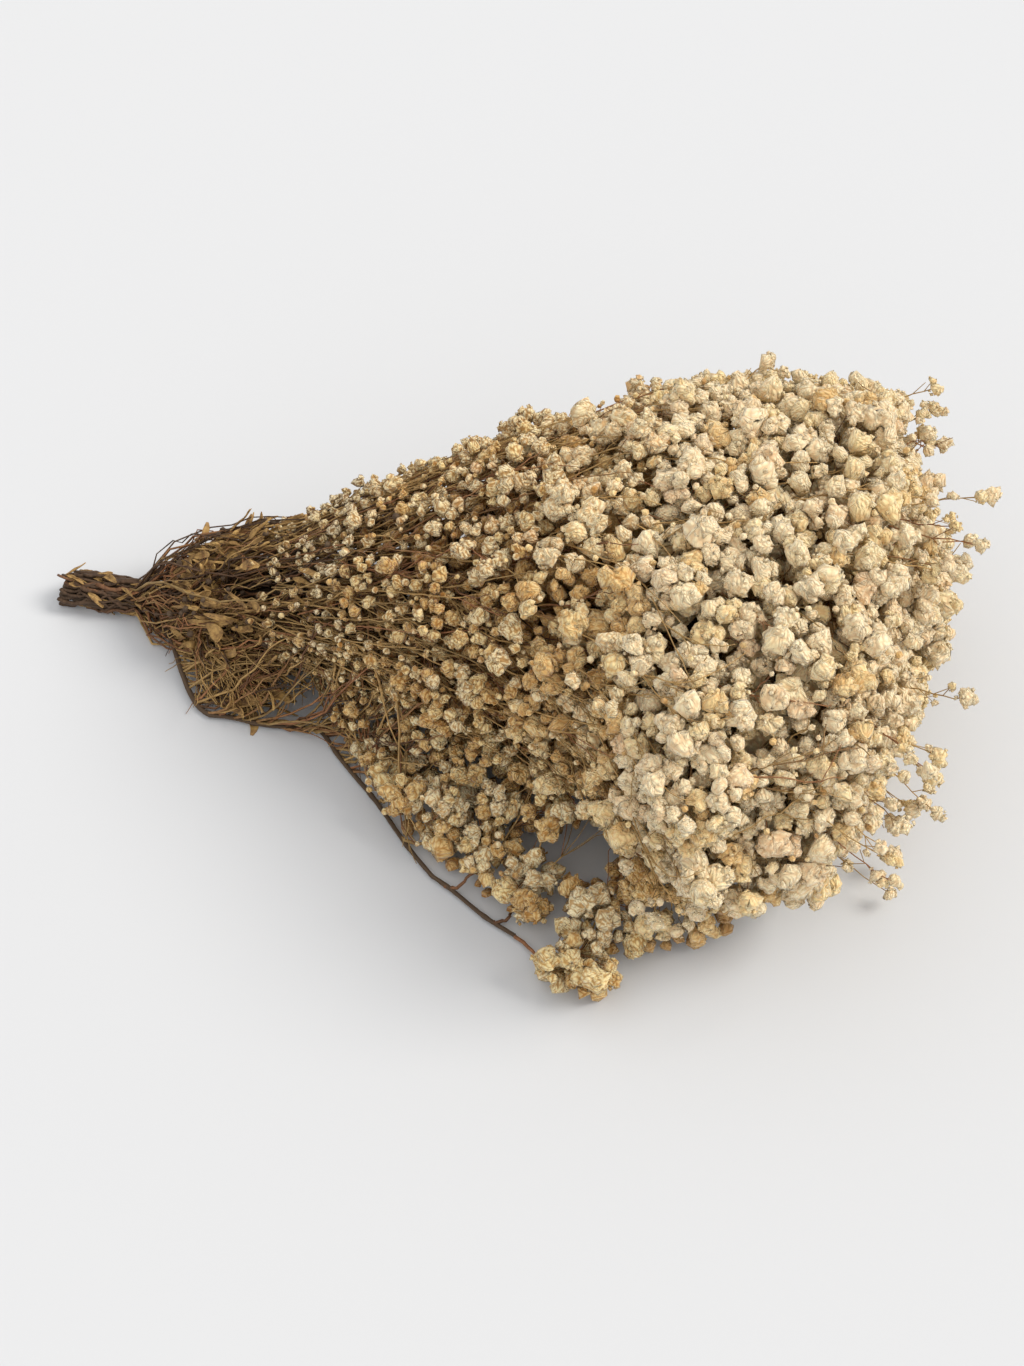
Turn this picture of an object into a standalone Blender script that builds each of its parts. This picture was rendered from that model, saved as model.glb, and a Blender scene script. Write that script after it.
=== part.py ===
"""A bundle of preserved baby's breath, lying on its side as cut.

Eleven branching stems are packed side by side at the cut end, on the left, and open into a flattened fan
to the right. Sprays of flowers fill the fan as a thick shell round the stems, in rings that get fuller
towards the tips. One stem strays from the bundle and lies on the surface in front of it, with a row of
clumps between it and the fan. Dried leaves curl out of the neck. X runs from the cut ends to the tips and Z is up.
"""

import math
import random

import bmesh
import bpy
from mathutils import Vector
from mathutils.bvhtree import BVHTree

# Sizes, in metres.
NECK_END = 0.045  # where the packed stems start to open
TIP = 0.430  # the farthest flowers from the cut ends
SHOULDER = 0.345  # where the fan is widest, before it rounds off
TIP_ROUND = 0.088  # length over which the tips round off
FAR_SLOPE = 0.405  # how fast the fan widens behind the axis
NEAR_SLOPE = 0.440  # and in front of it
NEAR_BULGE = 0.030  # low sprays splay out in front by this much more
NEAR_BULGE_AT = 0.325
NEAR_BULGE_LENGTH = 0.026
HEIGHT = 0.156  # top of the fan above the surface
RISE_LENGTH = 0.300  # the fan reaches that height over this length
SQUASH = 0.012  # depth by which its own weight flattens the underside
FORWARD_LEAN = 0.028  # outer flowers of the first rings lie this much farther along than inner ones
BACKWARD_LEAN = 0.047  # and at the tips this much less far
CORE = 0.42  # share of the fan's radius left to the bare stems

GAP = 0.0003  # between parts that touch
STEM_RADIUS = 0.0015  # at the cut end
STEM_TIP_RADIUS = 0.0009
CENTRE_STEM_RADIUS = 0.0026
BRANCH_RADIUS = 0.0008
STEM_RING = 0.00495  # radius of the ring of stems packed round the middle one
AXIS_HEIGHT = 0.0067  # the packed ring rests on the surface
RING_STEMS = 9
STEM_REACH = 0.25  # share of the fan's radius at which the stems of the ring run
FIRST_TURN = math.radians(20)
TWIST = math.radians(35)  # the packed stems wind round each other by this much
TWIST_LENGTH = 0.100
OPENING_LENGTH = 0.075  # length over which the packed stems spread into the fan
STAGGER = 0.009  # uneven cut ends
NECK_STEP = 0.012  # spacing of the points a stem runs through, where it bends in the neck
NECK_BEND = 0.115
FAN_STEP = 0.036  # and beyond
BRANCH_RUN = 0.028  # a side branch leaves its stem this far before its seat
SEAT_BACK = 0.018  # a stem's tip meets its spray this far before the spray's middle
SEAT_RUN = 0.006  # length of the last, square run onto the seat
TIP_RUN = 0.022  # a stem of the ring turns out to its last spray over this length

# Rings of sprays: name, start and end along the fan, sprays in the ring, turn of the first, colour.
RINGS = (
    ("neck", 0.097, 0.137, 3, 60, "brown_flowers"),
    ("lower", 0.140, 0.188, 4, 20, "golden_flowers"),
    ("inner", 0.191, 0.243, 5, 58, "golden_flowers"),
    ("middle", 0.246, 0.301, 6, 15, "cream_flowers"),
    ("full", 0.304, 0.361, 7, 42, "pale_flowers"),
    ("crown", 0.364, 0.417, 5, 20, "pale_flowers"),
)
RING_GAP_TURN = math.radians(5)
OUTSIDE = 1.05  # share of the fan's radius that the sprays' cages reach, because they round off
# How far a spray's cage is drawn in at its edges and corners, and by its lumps.
EDGE_DRAW = 0.99
CORNER_DRAW = 0.95
SPRAY_LUMPS = 0.08

TIP_CENTRE = 0.404  # the spray at the very tip, on the axis
TIP_REACH = 0.35

# The stray stem leaves the neck, bows out and then runs away from the fan.
STRAY_BOW = 0.054
STRAY_BOW_LENGTH = 0.050
STRAY_TURN = 0.143
STRAY_KNEE = 0.213
STRAY_END = 0.262
STRAY_RADIUS = 0.0014
# Clumps on the stray stem: distance along the fan, distance in front of the axis, half sizes.
STRAY_CLUMPS = (
    (0.1725, 0.0720, (0.0105, 0.0105, 0.012)),
    (0.194, 0.091, (0.0105, 0.0170, 0.017)),
    (0.216, 0.109, (0.0105, 0.0240, 0.018)),
    (0.2385, 0.120, (0.0110, 0.0260, 0.018)),
    (0.2605, 0.1360, (0.0100, 0.0135, 0.015)),
    (0.288, 0.163, (0.018, 0.026, 0.017)),
)

STRAY_FORKS = (0.162, 0.181, 0.2005, 0.2254, 0.2512)  # where the branches to all clumps but the last point from
FORK_BACK = 0.006  # such a branch leaves the stem this far before it
FORK_RUN = 0.0018  # length of its last, square run

LEAF_COUNT = 10
LEAF_LENGTH = 0.026
LEAF_WIDTH = 0.0062
LEAF_THICKNESS = 0.0008
LEAF_FOLD = 0.35  # its two halves rise from the midrib by this slope
LEAF_STATIONS = 7
LEAF_ZONE = (0.051, 0.078)  # the leaves grow between these, from the cut ends

COLOURS = {
    "brown_flowers": ((0.30, 0.22, 0.12), 0.85),
    "golden_flowers": ((0.45, 0.35, 0.20), 0.85),
    "cream_flowers": ((0.60, 0.50, 0.32), 0.85),
    "pale_flowers": ((0.70, 0.60, 0.42), 0.85),
    "stray_flowers": ((0.62, 0.53, 0.36), 0.85),
    "stem": ((0.14, 0.08, 0.045), 0.7),
    "leaf": ((0.28, 0.17, 0.07), 0.75),
}


def smooth(value):
    """Eases from 0 to 1 as value goes from 0 to 1."""
    value = min(max(value, 0.0), 1.0)
    return value * value * (3 - 2 * value)


def ramp(value, start, stop):
    """Length of value that lies between start and stop."""
    return min(max(value - start, 0.0), stop - start)


def fan_section(x):
    """Half width behind the axis, half width in front of it, and height of the axis, at x."""
    opened = max(x - NECK_END, 0.0)
    past = max(x - SHOULDER, 0.0) / TIP_ROUND
    closing = math.sqrt(max(1 - past * past, 0.04))
    bulge = NEAR_BULGE * math.exp(-(((x - NEAR_BULGE_AT) / NEAR_BULGE_LENGTH) ** 2))
    far = (AXIS_HEIGHT + FAR_SLOPE * opened) * closing
    near = (AXIS_HEIGHT + NEAR_SLOPE * opened + bulge) * closing
    rise = math.sin(math.pi / 2 * min(opened / RISE_LENGTH, 1.0))
    return far, near, AXIS_HEIGHT + (HEIGHT / 2 - AXIS_HEIGHT) * rise


def fan_point(along, turn, reach):
    """Point of the fan at a turn about its axis and a share reach of its radius. Outer points of the
    first rings lie farther along than inner ones, and outer points of the last rings less far."""
    lean = FORWARD_LEAN - (FORWARD_LEAN + BACKWARD_LEAN) * smooth((along - 0.15) / 0.25)
    x = along + lean * (reach - CORE)
    far, near, height = fan_section(x)
    width = far if math.cos(turn) > 0 else near
    past = max(x - SHOULDER, 0.0) / TIP_ROUND
    rise = height * math.sqrt(max(1 - 0.6 * past * past, 0.1))
    z = height + rise * reach * math.sin(turn)
    if math.sin(turn) < 0:
        z += SQUASH * smooth((x - 0.10) / 0.08) * reach * math.sin(turn)
    return Vector((x, width * reach * math.cos(turn), max(z, 0.0)))


def new_object(name, mesh, material, smooth_faces):
    """Links a mesh as an object of the bundle, with its material."""
    made = bpy.data.objects.new(name, mesh)
    bundle.objects.link(made)
    mesh.materials.clear()
    mesh.materials.append(materials[material])
    mesh.polygons.foreach_set("use_smooth", [smooth_faces] * len(mesh.polygons))
    return made


def closed_mesh(name, bm):
    """Writes bm as a triangulated mesh with its faces outward."""
    bmesh.ops.triangulate(bm, faces=bm.faces)
    bmesh.ops.recalc_face_normals(bm, faces=bm.faces)
    return plain_mesh(name, bm)


def plain_mesh(name, bm):
    """Writes bm as a mesh."""
    mesh = bpy.data.meshes.new(name)
    bm.to_mesh(mesh)
    bm.free()
    return mesh


def soft_object(name, bm, material):
    """A soft form: the cage in bm under a Subdivision Surface, in flat facets for a limb to end on."""
    bm.normal_update()
    bmesh.ops.recalc_face_normals(bm, faces=bm.faces)
    made = new_object(name, plain_mesh(name, bm), material, True)
    soften = made.modifiers.new("soften", "SUBSURF")
    soften.levels = 1
    soften.render_levels = 1
    made.modifiers.new("facets", "TRIANGULATE")
    return made


def spray_cage(seed):
    """A cube with one cut a side, its corners drawn in and its sides pushed in by soft lumps."""
    rng = random.Random(seed)
    bm = bmesh.new()
    bmesh.ops.create_cube(bm, size=2.0)
    bmesh.ops.subdivide_edges(bm, edges=bm.edges[:], cuts=1, use_grid_fill=True)
    for vertex in bm.verts:
        flats = sum(abs(value) > 0.5 for value in vertex.co)
        vertex.co *= (1.0, 1.0, EDGE_DRAW, CORNER_DRAW)[flats] * (1 - SPRAY_LUMPS * rng.random())
    return bm


def ring_spray(name, ring, place):
    """One spray: the cage bent into its share of the ring."""
    _, start, stop, count, first, material = ring
    middle_turn = math.radians(first) + place * math.tau / count
    half_turn = math.pi / count - RING_GAP_TURN / 2
    bm = spray_cage(name)
    for vertex in bm.verts:
        a, b, c = vertex.co
        along = (start + stop) / 2 + a * (stop - start) / 2
        reach = (OUTSIDE + CORE) / 2 + c * (OUTSIDE - CORE) / 2
        vertex.co = fan_point(along, middle_turn + b * half_turn, reach)
    made = soft_object(name, bm, material)
    return {"object": made, "turn": middle_turn % math.tau, "along": (start + stop) / 2}


def free_spray(name, centre, half_size, material):
    """A spray that stands by itself: the cage scaled to half_size, flat where it meets the surface."""
    bm = spray_cage(name)
    for vertex in bm.verts:
        point = Vector([value * half for value, half in zip(vertex.co, half_size)]) + centre
        vertex.co = Vector((point.x, point.y, max(point.z, 0.0)))
    return soft_object(name, bm, material)


def tube(points, radii):
    """A closed tube of six sides through the points, as a bmesh."""
    curve = bpy.data.curves.new("path", "CURVE")
    curve.dimensions = "3D"
    curve.bevel_depth = 1.0
    curve.bevel_resolution = 1
    curve.use_fill_caps = True
    spline = curve.splines.new("POLY")
    spline.points.add(len(points) - 1)
    for made, point, radius in zip(spline.points, points, radii):
        made.co = (*point, 1.0)
        made.radius = radius
    holder = bpy.data.objects.new("path", curve)
    cutters.objects.link(holder)
    evaluated = holder.evaluated_get(bpy.context.evaluated_depsgraph_get())
    mesh = bpy.data.meshes.new_from_object(evaluated)
    bpy.data.objects.remove(holder)
    bm = bmesh.new()
    bm.from_mesh(mesh)
    bmesh.ops.remove_doubles(bm, verts=bm.verts, dist=1e-6)
    bpy.data.meshes.remove(mesh)
    return bm


def grown(name, limbs):
    """Joins the tubes of one stem and its branches into one grown solid."""
    trunk = new_object(name, closed_mesh(name, tube(*limbs[0])), "stem", True)
    for number, limb in enumerate(limbs[1:]):
        branch = bpy.data.objects.new(f"{name}_limb_{number}", closed_mesh("limb", tube(*limb)))
        cutters.objects.link(branch)
        branch.hide_render = True
        branch.display_type = "WIRE"
        union = trunk.modifiers.new(f"limb_{number}", "BOOLEAN")
        union.operation = "UNION"
        union.solver = "EXACT"
        union.use_self = True
        union.object = branch
    return trunk


def ring_stem_point(number, x):
    """Centre of a stem of the ring at x: packed and twisted in the neck, spread through the fan beyond."""
    turn = FIRST_TURN + number * math.tau / RING_STEMS
    turn += TWIST * (1 - smooth(x / TWIST_LENGTH))
    far, near, height = fan_section(x)
    opening = smooth((x - NECK_END) / OPENING_LENGTH)
    width = far if math.cos(turn) > 0 else near
    across = STEM_RING + (max(STEM_REACH * width, STEM_RING) - STEM_RING) * opening
    up = STEM_RING + (max(STEM_REACH * height, STEM_RING) - STEM_RING) * opening
    return Vector((x, across * math.cos(turn), height + up * math.sin(turn)))


def axis_point(x):
    """Point of the fan's axis at x."""
    return Vector((x, 0.0, fan_section(x)[2]))


def stray_point(x):
    """Centre of the stray stem at x: nested against two of the packed ring, then out over the surface."""
    half = math.pi / RING_STEMS
    turn = FIRST_TURN + 7 * half + TWIST * (1 - smooth(x / TWIST_LENGTH))
    spacing = 2 * STEM_RADIUS + GAP
    nested = STEM_RING * math.cos(half) + math.sqrt(spacing**2 - (STEM_RING * math.sin(half)) ** 2)
    out = STRAY_BOW * smooth((x - NECK_END + 0.006) / STRAY_BOW_LENGTH)
    out += ramp(x, STRAY_TURN, STRAY_KNEE) + 0.55 * ramp(x, STRAY_KNEE, TIP)
    beside = AXIS_HEIGHT + nested * math.sin(turn)
    low = STRAY_RADIUS + 0.0006
    z = beside + (low - beside) * smooth((x - NECK_END) / 0.04)
    return Vector((x, nested * math.cos(turn) - out, z))


def finished_mesh(made):
    """The mesh an object shows, with its modifiers."""
    return made.evaluated_get(bpy.context.evaluated_depsgraph_get()).to_mesh()


def seat_on(target, origin, towards):
    """The face of target met from origin, as its centre and its normal."""
    mesh = finished_mesh(target)
    tree = BVHTree.FromPolygons([v.co for v in mesh.vertices], [list(p.vertices) for p in mesh.polygons])
    _, _, face, _ = tree.ray_cast(origin, (towards - origin).normalized())
    if face is None:
        raise ValueError(f"no face of {target.name} is met")
    polygon = mesh.polygons[face]
    return polygon.center.copy(), polygon.normal.copy()


def limb_to(target, start_points, origin, towards, radii, run=SEAT_RUN):
    """A limb that follows start_points and ends square on the face of target met from origin."""
    seat, normal = seat_on(target, origin, towards)
    points = list(start_points) + [seat + normal * run, seat + normal * GAP]
    first, last = radii
    steps = len(points) - 1
    return points, [first + (last - first) * step / steps for step in range(steps + 1)]


def stations(start, stop, fan_step=FAN_STEP):
    """Steps from start to stop, close together through the neck."""
    bend = min(NECK_BEND, stop)
    close = max(round((bend - start) / NECK_STEP), 1)
    wide = max(round((stop - bend) / fan_step), 1)
    near = [start + (bend - start) * step / close for step in range(close)]
    if stop - bend < 0.001:
        return near + [stop]
    return near + [bend + (stop - bend) * step / wide for step in range(wide + 1)]


def centre_of(target):
    """Mean of an object's vertices."""
    return sum((v.co for v in target.data.vertices), Vector()) / len(target.data.vertices)


def ring_stem(number, sprays, cut_at):
    """A stem of the ring with a branch to each of its sprays; the last spray is at its tip."""
    sprays = sorted(sprays, key=lambda spray: spray["along"])
    last = sprays[-1]
    met = last["along"] - SEAT_BACK
    body = [ring_stem_point(number, x) for x in stations(cut_at, met - TIP_RUN)]
    radii = (STEM_RADIUS, STEM_TIP_RADIUS)
    towards = centre_of(last["object"])
    limbs = [limb_to(last["object"], body, ring_stem_point(number, met), towards, radii)]
    for spray in sprays[:-1]:
        met = spray["along"] - SEAT_BACK / 2
        start = ring_stem_point(number, met - BRANCH_RUN)
        radii = (BRANCH_RADIUS, BRANCH_RADIUS)
        towards = centre_of(spray["object"])
        limbs.append(limb_to(spray["object"], [start], ring_stem_point(number, met), towards, radii))
    return grown(f"stem_{number + 1}", limbs)


def leaf(name, number, x, turn_side, rng):
    """A dried leaf: a folded blade that leaves its stem, broadens, and curls back to a point."""
    root = ring_stem_point(number, x)
    forward = (ring_stem_point(number, x + 0.012) - root).normalized()
    outward = root - axis_point(x)
    outward = (outward - forward * outward.dot(forward)).normalized()
    side = outward.cross(forward)
    length = LEAF_LENGTH * rng.uniform(0.8, 1.15)
    lift = math.radians(rng.uniform(30, 42))
    curl = math.radians(rng.uniform(60, 95))
    sway = turn_side * rng.uniform(0.2, 0.5)
    rib = root + outward * (STEM_RADIUS + GAP + LEAF_THICKNESS / 2 + 0.0001)
    bm = bmesh.new()
    rows = []
    for station in range(LEAF_STATIONS):
        share = station / (LEAF_STATIONS - 1)
        bend = lift + curl * share
        heading = forward * math.cos(bend) + outward * math.sin(bend) + side * sway * share
        heading.normalize()
        over = heading.cross(side).normalized()
        half = LEAF_WIDTH / 2 * (0.14 + 0.86 * math.sin(math.pi * min(share * 0.93 + 0.02, 1.0)))
        rise = over * half * LEAF_FOLD
        edges = (rib - side * half + rise, rib, rib + side * half + rise)
        rows.append([bm.verts.new(point) for point in edges])
        rib = rib + heading * length / (LEAF_STATIONS - 1)
    for one, two in zip(rows, rows[1:]):
        for left in range(2):
            bm.faces.new((one[left], one[left + 1], two[left + 1], two[left]))
    bmesh.ops.triangulate(bm, faces=bm.faces)
    made = new_object(name, plain_mesh(name, bm), "leaf", False)
    blade = made.modifiers.new("blade", "SOLIDIFY")
    blade.thickness = LEAF_THICKNESS
    blade.offset = 0.0


def nearest_stem(turn):
    """Number of the ring stem whose turn is nearest."""
    def apart(number):
        difference = turn - FIRST_TURN - number * math.tau / RING_STEMS
        return abs((difference + math.pi) % math.tau - math.pi)

    return min(range(RING_STEMS), key=apart)


def build_sprays():
    """The rings of sprays, the tip spray and the clumps of the stray stem."""
    rings = [
        ring_spray(f"{ring[0]}_spray_{place + 1}", ring, place)
        for ring in RINGS
        for place in range(ring[3])
    ]
    far, _, height = fan_section(TIP_CENTRE)
    tip_size = (TIP - TIP_CENTRE, TIP_REACH * far, TIP_REACH * height)
    tip = free_spray("tip_spray", axis_point(TIP_CENTRE), tip_size, "pale_flowers")
    clumps = [
        free_spray(
            f"stray_spray_{number + 1}", Vector((x, -out, half[2] * 0.9)), half, "stray_flowers"
        )
        for number, (x, out, half) in enumerate(STRAY_CLUMPS)
    ]
    return rings, tip, clumps


def build_stems(rings, tip, clumps):
    """The ring of stems, the middle stem and the stray one."""
    owned = {number: [] for number in range(RING_STEMS)}
    for spray in rings:
        owned[nearest_stem(spray["turn"])].append(spray)
    rng = random.Random(7)
    for number, sprays in owned.items():
        ring_stem(number, sprays, rng.uniform(0, STAGGER))
    body = [axis_point(x) for x in stations(0.002, 0.330)]
    radii = (CENTRE_STEM_RADIUS, STEM_TIP_RADIUS)
    grown("middle_stem", [limb_to(tip, body, axis_point(0.34), centre_of(tip), radii)])
    body = [stray_point(x) for x in stations(0.006, STRAY_END - 0.012, FAN_STEP / 2)]
    radii = (STRAY_RADIUS, STEM_TIP_RADIUS)
    limbs = [limb_to(clumps[-1], body, stray_point(STRAY_END), centre_of(clumps[-1]), radii)]
    for clump, met in zip(clumps, STRAY_FORKS):
        start = stray_point(met - FORK_BACK)
        radii = (BRANCH_RADIUS, BRANCH_RADIUS)
        limbs.append(limb_to(clump, [start], stray_point(met), centre_of(clump), radii, FORK_RUN))
    grown("stray_stem", limbs)


def build_leaves():
    """Dried leaves up the neck, on the stems that face up and sideways."""
    rng = random.Random(11)
    upper = [
        number
        for number in range(RING_STEMS)
        if math.sin(FIRST_TURN + number * math.tau / RING_STEMS) > -0.35
    ]
    for number in range(LEAF_COUNT):
        x = LEAF_ZONE[0] + (LEAF_ZONE[1] - LEAF_ZONE[0]) * number / (LEAF_COUNT - 1)
        stem = upper[(number * 2 + number // len(upper)) % len(upper)]
        leaf(f"leaf_{number + 1}", stem, x, 1 if number % 2 else -1, rng)


def settle():
    """Moves everything so that the bundle stands on the surface, centred on the origin."""
    bpy.context.view_layer.update()
    corners = [vertex.co.copy() for made in bundle.objects for vertex in finished_mesh(made).vertices]
    low = Vector([min(corner[axis] for corner in corners) for axis in range(3)])
    high = Vector([max(corner[axis] for corner in corners) for axis in range(3)])
    shift = Vector((-(low.x + high.x) / 2, -(low.y + high.y) / 2, -low.z))
    for made in list(bundle.objects) + list(cutters.objects):
        made.location += shift


for old in list(bpy.data.objects):
    bpy.data.objects.remove(old)

bundle = bpy.data.collections.new("babys_breath_bundle")
cutters = bpy.data.collections.new("limbs")
bpy.context.scene.collection.children.link(bundle)
bpy.context.scene.collection.children.link(cutters)

materials = {}
for label, (colour, roughness) in COLOURS.items():
    material = bpy.data.materials.new(label)
    material.use_nodes = True
    shader = material.node_tree.nodes["Principled BSDF"]
    shader.inputs["Base Color"].default_value = (*colour, 1.0)
    shader.inputs["Roughness"].default_value = roughness
    shader.inputs["Metallic"].default_value = 0.0
    materials[label] = material

ring_sprays, tip_spray, stray_clumps = build_sprays()
build_stems(ring_sprays, tip_spray, stray_clumps)
build_leaves()
settle()
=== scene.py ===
"""Visual model of a bundle of preserved baby's breath that lies on its side.

The bundle is a flattened fan of branching stems. X runs from the cut ends to the tips, +Y is the far side
and Z is up. Every spray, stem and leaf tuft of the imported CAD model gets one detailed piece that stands
for it: crumpled double flowers, closed buds, thin flower stalks, wrinkled bark and curled dry leaves.
"""

import math
from functools import lru_cache

import bpy
import numpy as np
from bpy.props import FloatProperty, FloatVectorProperty, PointerProperty
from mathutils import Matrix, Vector


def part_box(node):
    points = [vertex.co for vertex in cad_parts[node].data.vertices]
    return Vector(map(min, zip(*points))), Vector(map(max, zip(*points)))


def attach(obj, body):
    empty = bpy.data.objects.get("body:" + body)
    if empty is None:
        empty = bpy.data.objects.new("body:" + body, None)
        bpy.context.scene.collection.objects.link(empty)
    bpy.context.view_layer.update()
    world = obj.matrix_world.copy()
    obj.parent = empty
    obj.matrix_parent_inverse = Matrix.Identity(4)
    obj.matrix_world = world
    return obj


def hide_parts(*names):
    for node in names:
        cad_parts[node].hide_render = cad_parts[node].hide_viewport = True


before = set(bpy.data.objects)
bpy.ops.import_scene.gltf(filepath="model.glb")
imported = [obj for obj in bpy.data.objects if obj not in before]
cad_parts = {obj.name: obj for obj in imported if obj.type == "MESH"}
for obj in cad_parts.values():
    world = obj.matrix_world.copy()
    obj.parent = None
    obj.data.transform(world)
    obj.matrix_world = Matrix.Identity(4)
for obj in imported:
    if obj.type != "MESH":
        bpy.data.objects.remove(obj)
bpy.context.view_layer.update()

bl_info = {
    "name": "Preserved baby's breath bundle",
    "version": (1, 0, 0),
    "blender": (4, 5, 0),
    "location": "View3D > Sidebar > Bundle",
    "description": "Builds the sprays, stems and leaves of a dried baby's breath bundle",
    "category": "Add Mesh",
}

# The fan that the CAD model is laid out on, in metres from the cut ends along X.
NECK_END = 0.045
SHOULDER = 0.345
TIP_ROUND = 0.088
FAR_SLOPE = 0.405
NEAR_SLOPE = 0.440
NEAR_BULGE = 0.030
NEAR_BULGE_AT = 0.325
NEAR_BULGE_LENGTH = 0.026
HEIGHT = 0.156
RISE_LENGTH = 0.300
SQUASH = 0.012
FORWARD_LEAN = 0.028
BACKWARD_LEAN = 0.047
CORE = 0.42
AXIS_HEIGHT = 0.0067
STEM_RING = 0.00495
RING_STEMS = 9
STEM_REACH = 0.25
STEM_RADIUS = 0.0015
STEM_TIP_RADIUS = 0.0009
CENTRE_STEM_RADIUS = 0.0026
STRAY_RADIUS = 0.0014
FIRST_TURN = math.radians(20)
TWIST = math.radians(35)
TWIST_LENGTH = 0.100
OPENING_LENGTH = 0.075
STRAY_BOW = 0.054
STRAY_BOW_LENGTH = 0.050
STRAY_TURN = 0.143
STRAY_KNEE = 0.213
STRAY_END = 0.262
TIP_CENTRE = 0.404
TIP_HALF = 0.026
TIP_REACH = 0.35

# Rings of sprays: name, start, end, sprays in the ring, turn of the first in degrees.
RINGS = (
    ("neck", 0.097, 0.137, 3, 60),
    ("lower", 0.140, 0.188, 4, 20),
    ("inner", 0.191, 0.243, 5, 58),
    ("middle", 0.246, 0.301, 6, 15),
    ("full", 0.304, 0.361, 7, 42),
    ("crown", 0.364, 0.417, 5, 20),
)
# Clumps of the stray stem: distance along, distance in front of the axis, half sizes.
STRAY_CLUMPS = (
    (0.1725, 0.0720, (0.0105, 0.0105, 0.012)),
    (0.194, 0.091, (0.0105, 0.0170, 0.017)),
    (0.216, 0.109, (0.0105, 0.0240, 0.018)),
    (0.2385, 0.120, (0.0110, 0.0260, 0.018)),
    (0.2605, 0.1360, (0.0100, 0.0135, 0.015)),
    (0.288, 0.163, (0.018, 0.026, 0.017)),
)
# Where the surface shows through the flowers by the stray stem: middle and radius.
OPENINGS = (((0.277, -0.102), 0.0165), ((0.240, -0.119), 0.0070), ((0.269, -0.132), 0.0075))
LEAN = np.array([0.136, -0.770])  # how far over the surface a flower hides it, for each metre of its height
REACH_OUT = 0.166  # how far to either side of the frame's middle the bundle reaches
# How far the twigs of a ring reach, as a share of the fan's half widths.
OVER = {"neck": 1.0, "lower": 1.0, "inner": 1.0, "middle": 1.01, "full": 1.02, "crown": 1.02}
STRAY_FORKS = (0.156, 0.175, 0.1945, 0.2194, 0.2452, 0.256)  # where the branch to each clump leaves the stem

NECK_PUFF = 0.015  # how far the loose twigs and leaves of the neck stand out past the fan

MAP = "OFBake"  # the map: a tint or a length across, and a place within the piece's band up
BALL_ON_MAP = 0.125  # side of the square that a large flower unfolds onto
PETAL_BAND = (0.01, 0.60)  # share of the map that flowers, buds, bark and leaves read
TWIG_BAND = (0.68, 0.98)  # the share that stalks and twigs read

# Limits in the bundle's own frame, in metres.
LOWEST = 0.0012  # twigs and leaves stay above this
HIGHEST = 0.162  # and below this
FLOWER_TOP = 0.156  # highest middle of a flower
TWIG_END = 0.414  # furthest end of a surface twig
RUNNER_END = 0.408  # and of a runner
SPRIG_END = 0.444  # and of a sprig
SURFACE_GAP = 0.0002  # every point stands at least this far above the surface
STRAY_APART = 0.0033  # from the stray stem's centre to its neighbours' in the neck
STRAY_SLOPE = 0.55  # how fast the last part of the stray stem moves out
FAN_END = 0.430  # about where the fan ends along X
BIG_FLOWER = 0.0046  # flowers of a larger radius have more bulges and crumbs
BLADE_THICKNESS = 0.00022

# What a ring's twigs follow: half the turn they start within, and how many run forward or over the flowers.
HALF_TURNS = {"neck": 0.9, "lower": 0.75, "inner": 0.6, "middle": 0.5, "full": 0.43, "crown": 0.6}
SURFACE_TWIGS = {"neck": 26, "lower": 26, "inner": 20, "middle": 13, "full": 9, "crown": 8}
RUNNERS = {"neck": 7, "lower": 8, "inner": 8, "middle": 8, "full": 7, "crown": 5}

# What a flower's size and spacing follow along the fan.
SIZE_AT = (0.090, 0.140, 0.190, 0.250, 0.330, 0.430)
FLOWER_RADII = (0.0027, 0.0036, 0.0048, 0.0062, 0.0072, 0.0070)
CLUSTER_SPACING = (0.0130, 0.0145, 0.0175, 0.0205, 0.0225, 0.0215)
OUTER_SPACING = (1.45, 0.88, 0.69, 0.63, 0.59, 0.60)
INNER_SPACING = (2.00, 1.08, 0.86, 0.76, 0.74, 0.74)
TRIES = {"neck": 1500, "lower": 2200, "inner": 3400, "middle": 5000, "full": 7500, "crown": 6500}
SEED_PLACES = 9000  # places tried for the middles of clusters
MOST_FLOWERS = 16000  # room for the flowers of the plan


def ease(value):
    """Eases from 0 to 1: 3 v^2 - 2 v^3, with v held between 0 and 1."""
    value = np.clip(value, 0.0, 1.0)
    return value * value * (3 - 2 * value)


def ramp(value, start, stop):
    """Length of value that lies between start and stop."""
    return np.clip(value - start, 0.0, stop - start)


def fan_section(x):
    """Half width behind the axis, in front of it, and the axis' height. The widths grow in proportion to
    the distance past the neck and close as a quarter ellipse past the shoulder."""
    x = np.asarray(x, float)
    opened = np.maximum(x - NECK_END, 0.0)
    past = np.maximum(x - SHOULDER, 0.0) / TIP_ROUND
    closing = np.sqrt(np.maximum(1 - past * past, 0.04))
    bulge = NEAR_BULGE * np.exp(-(((x - NEAR_BULGE_AT) / NEAR_BULGE_LENGTH) ** 2))
    far = (AXIS_HEIGHT + FAR_SLOPE * opened) * closing
    near = (AXIS_HEIGHT + NEAR_SLOPE * opened + bulge) * closing
    rise = np.sin(np.pi / 2 * np.minimum(opened / RISE_LENGTH, 1.0))
    return far, near, AXIS_HEIGHT + (HEIGHT / 2 - AXIS_HEIGHT) * rise


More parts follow.
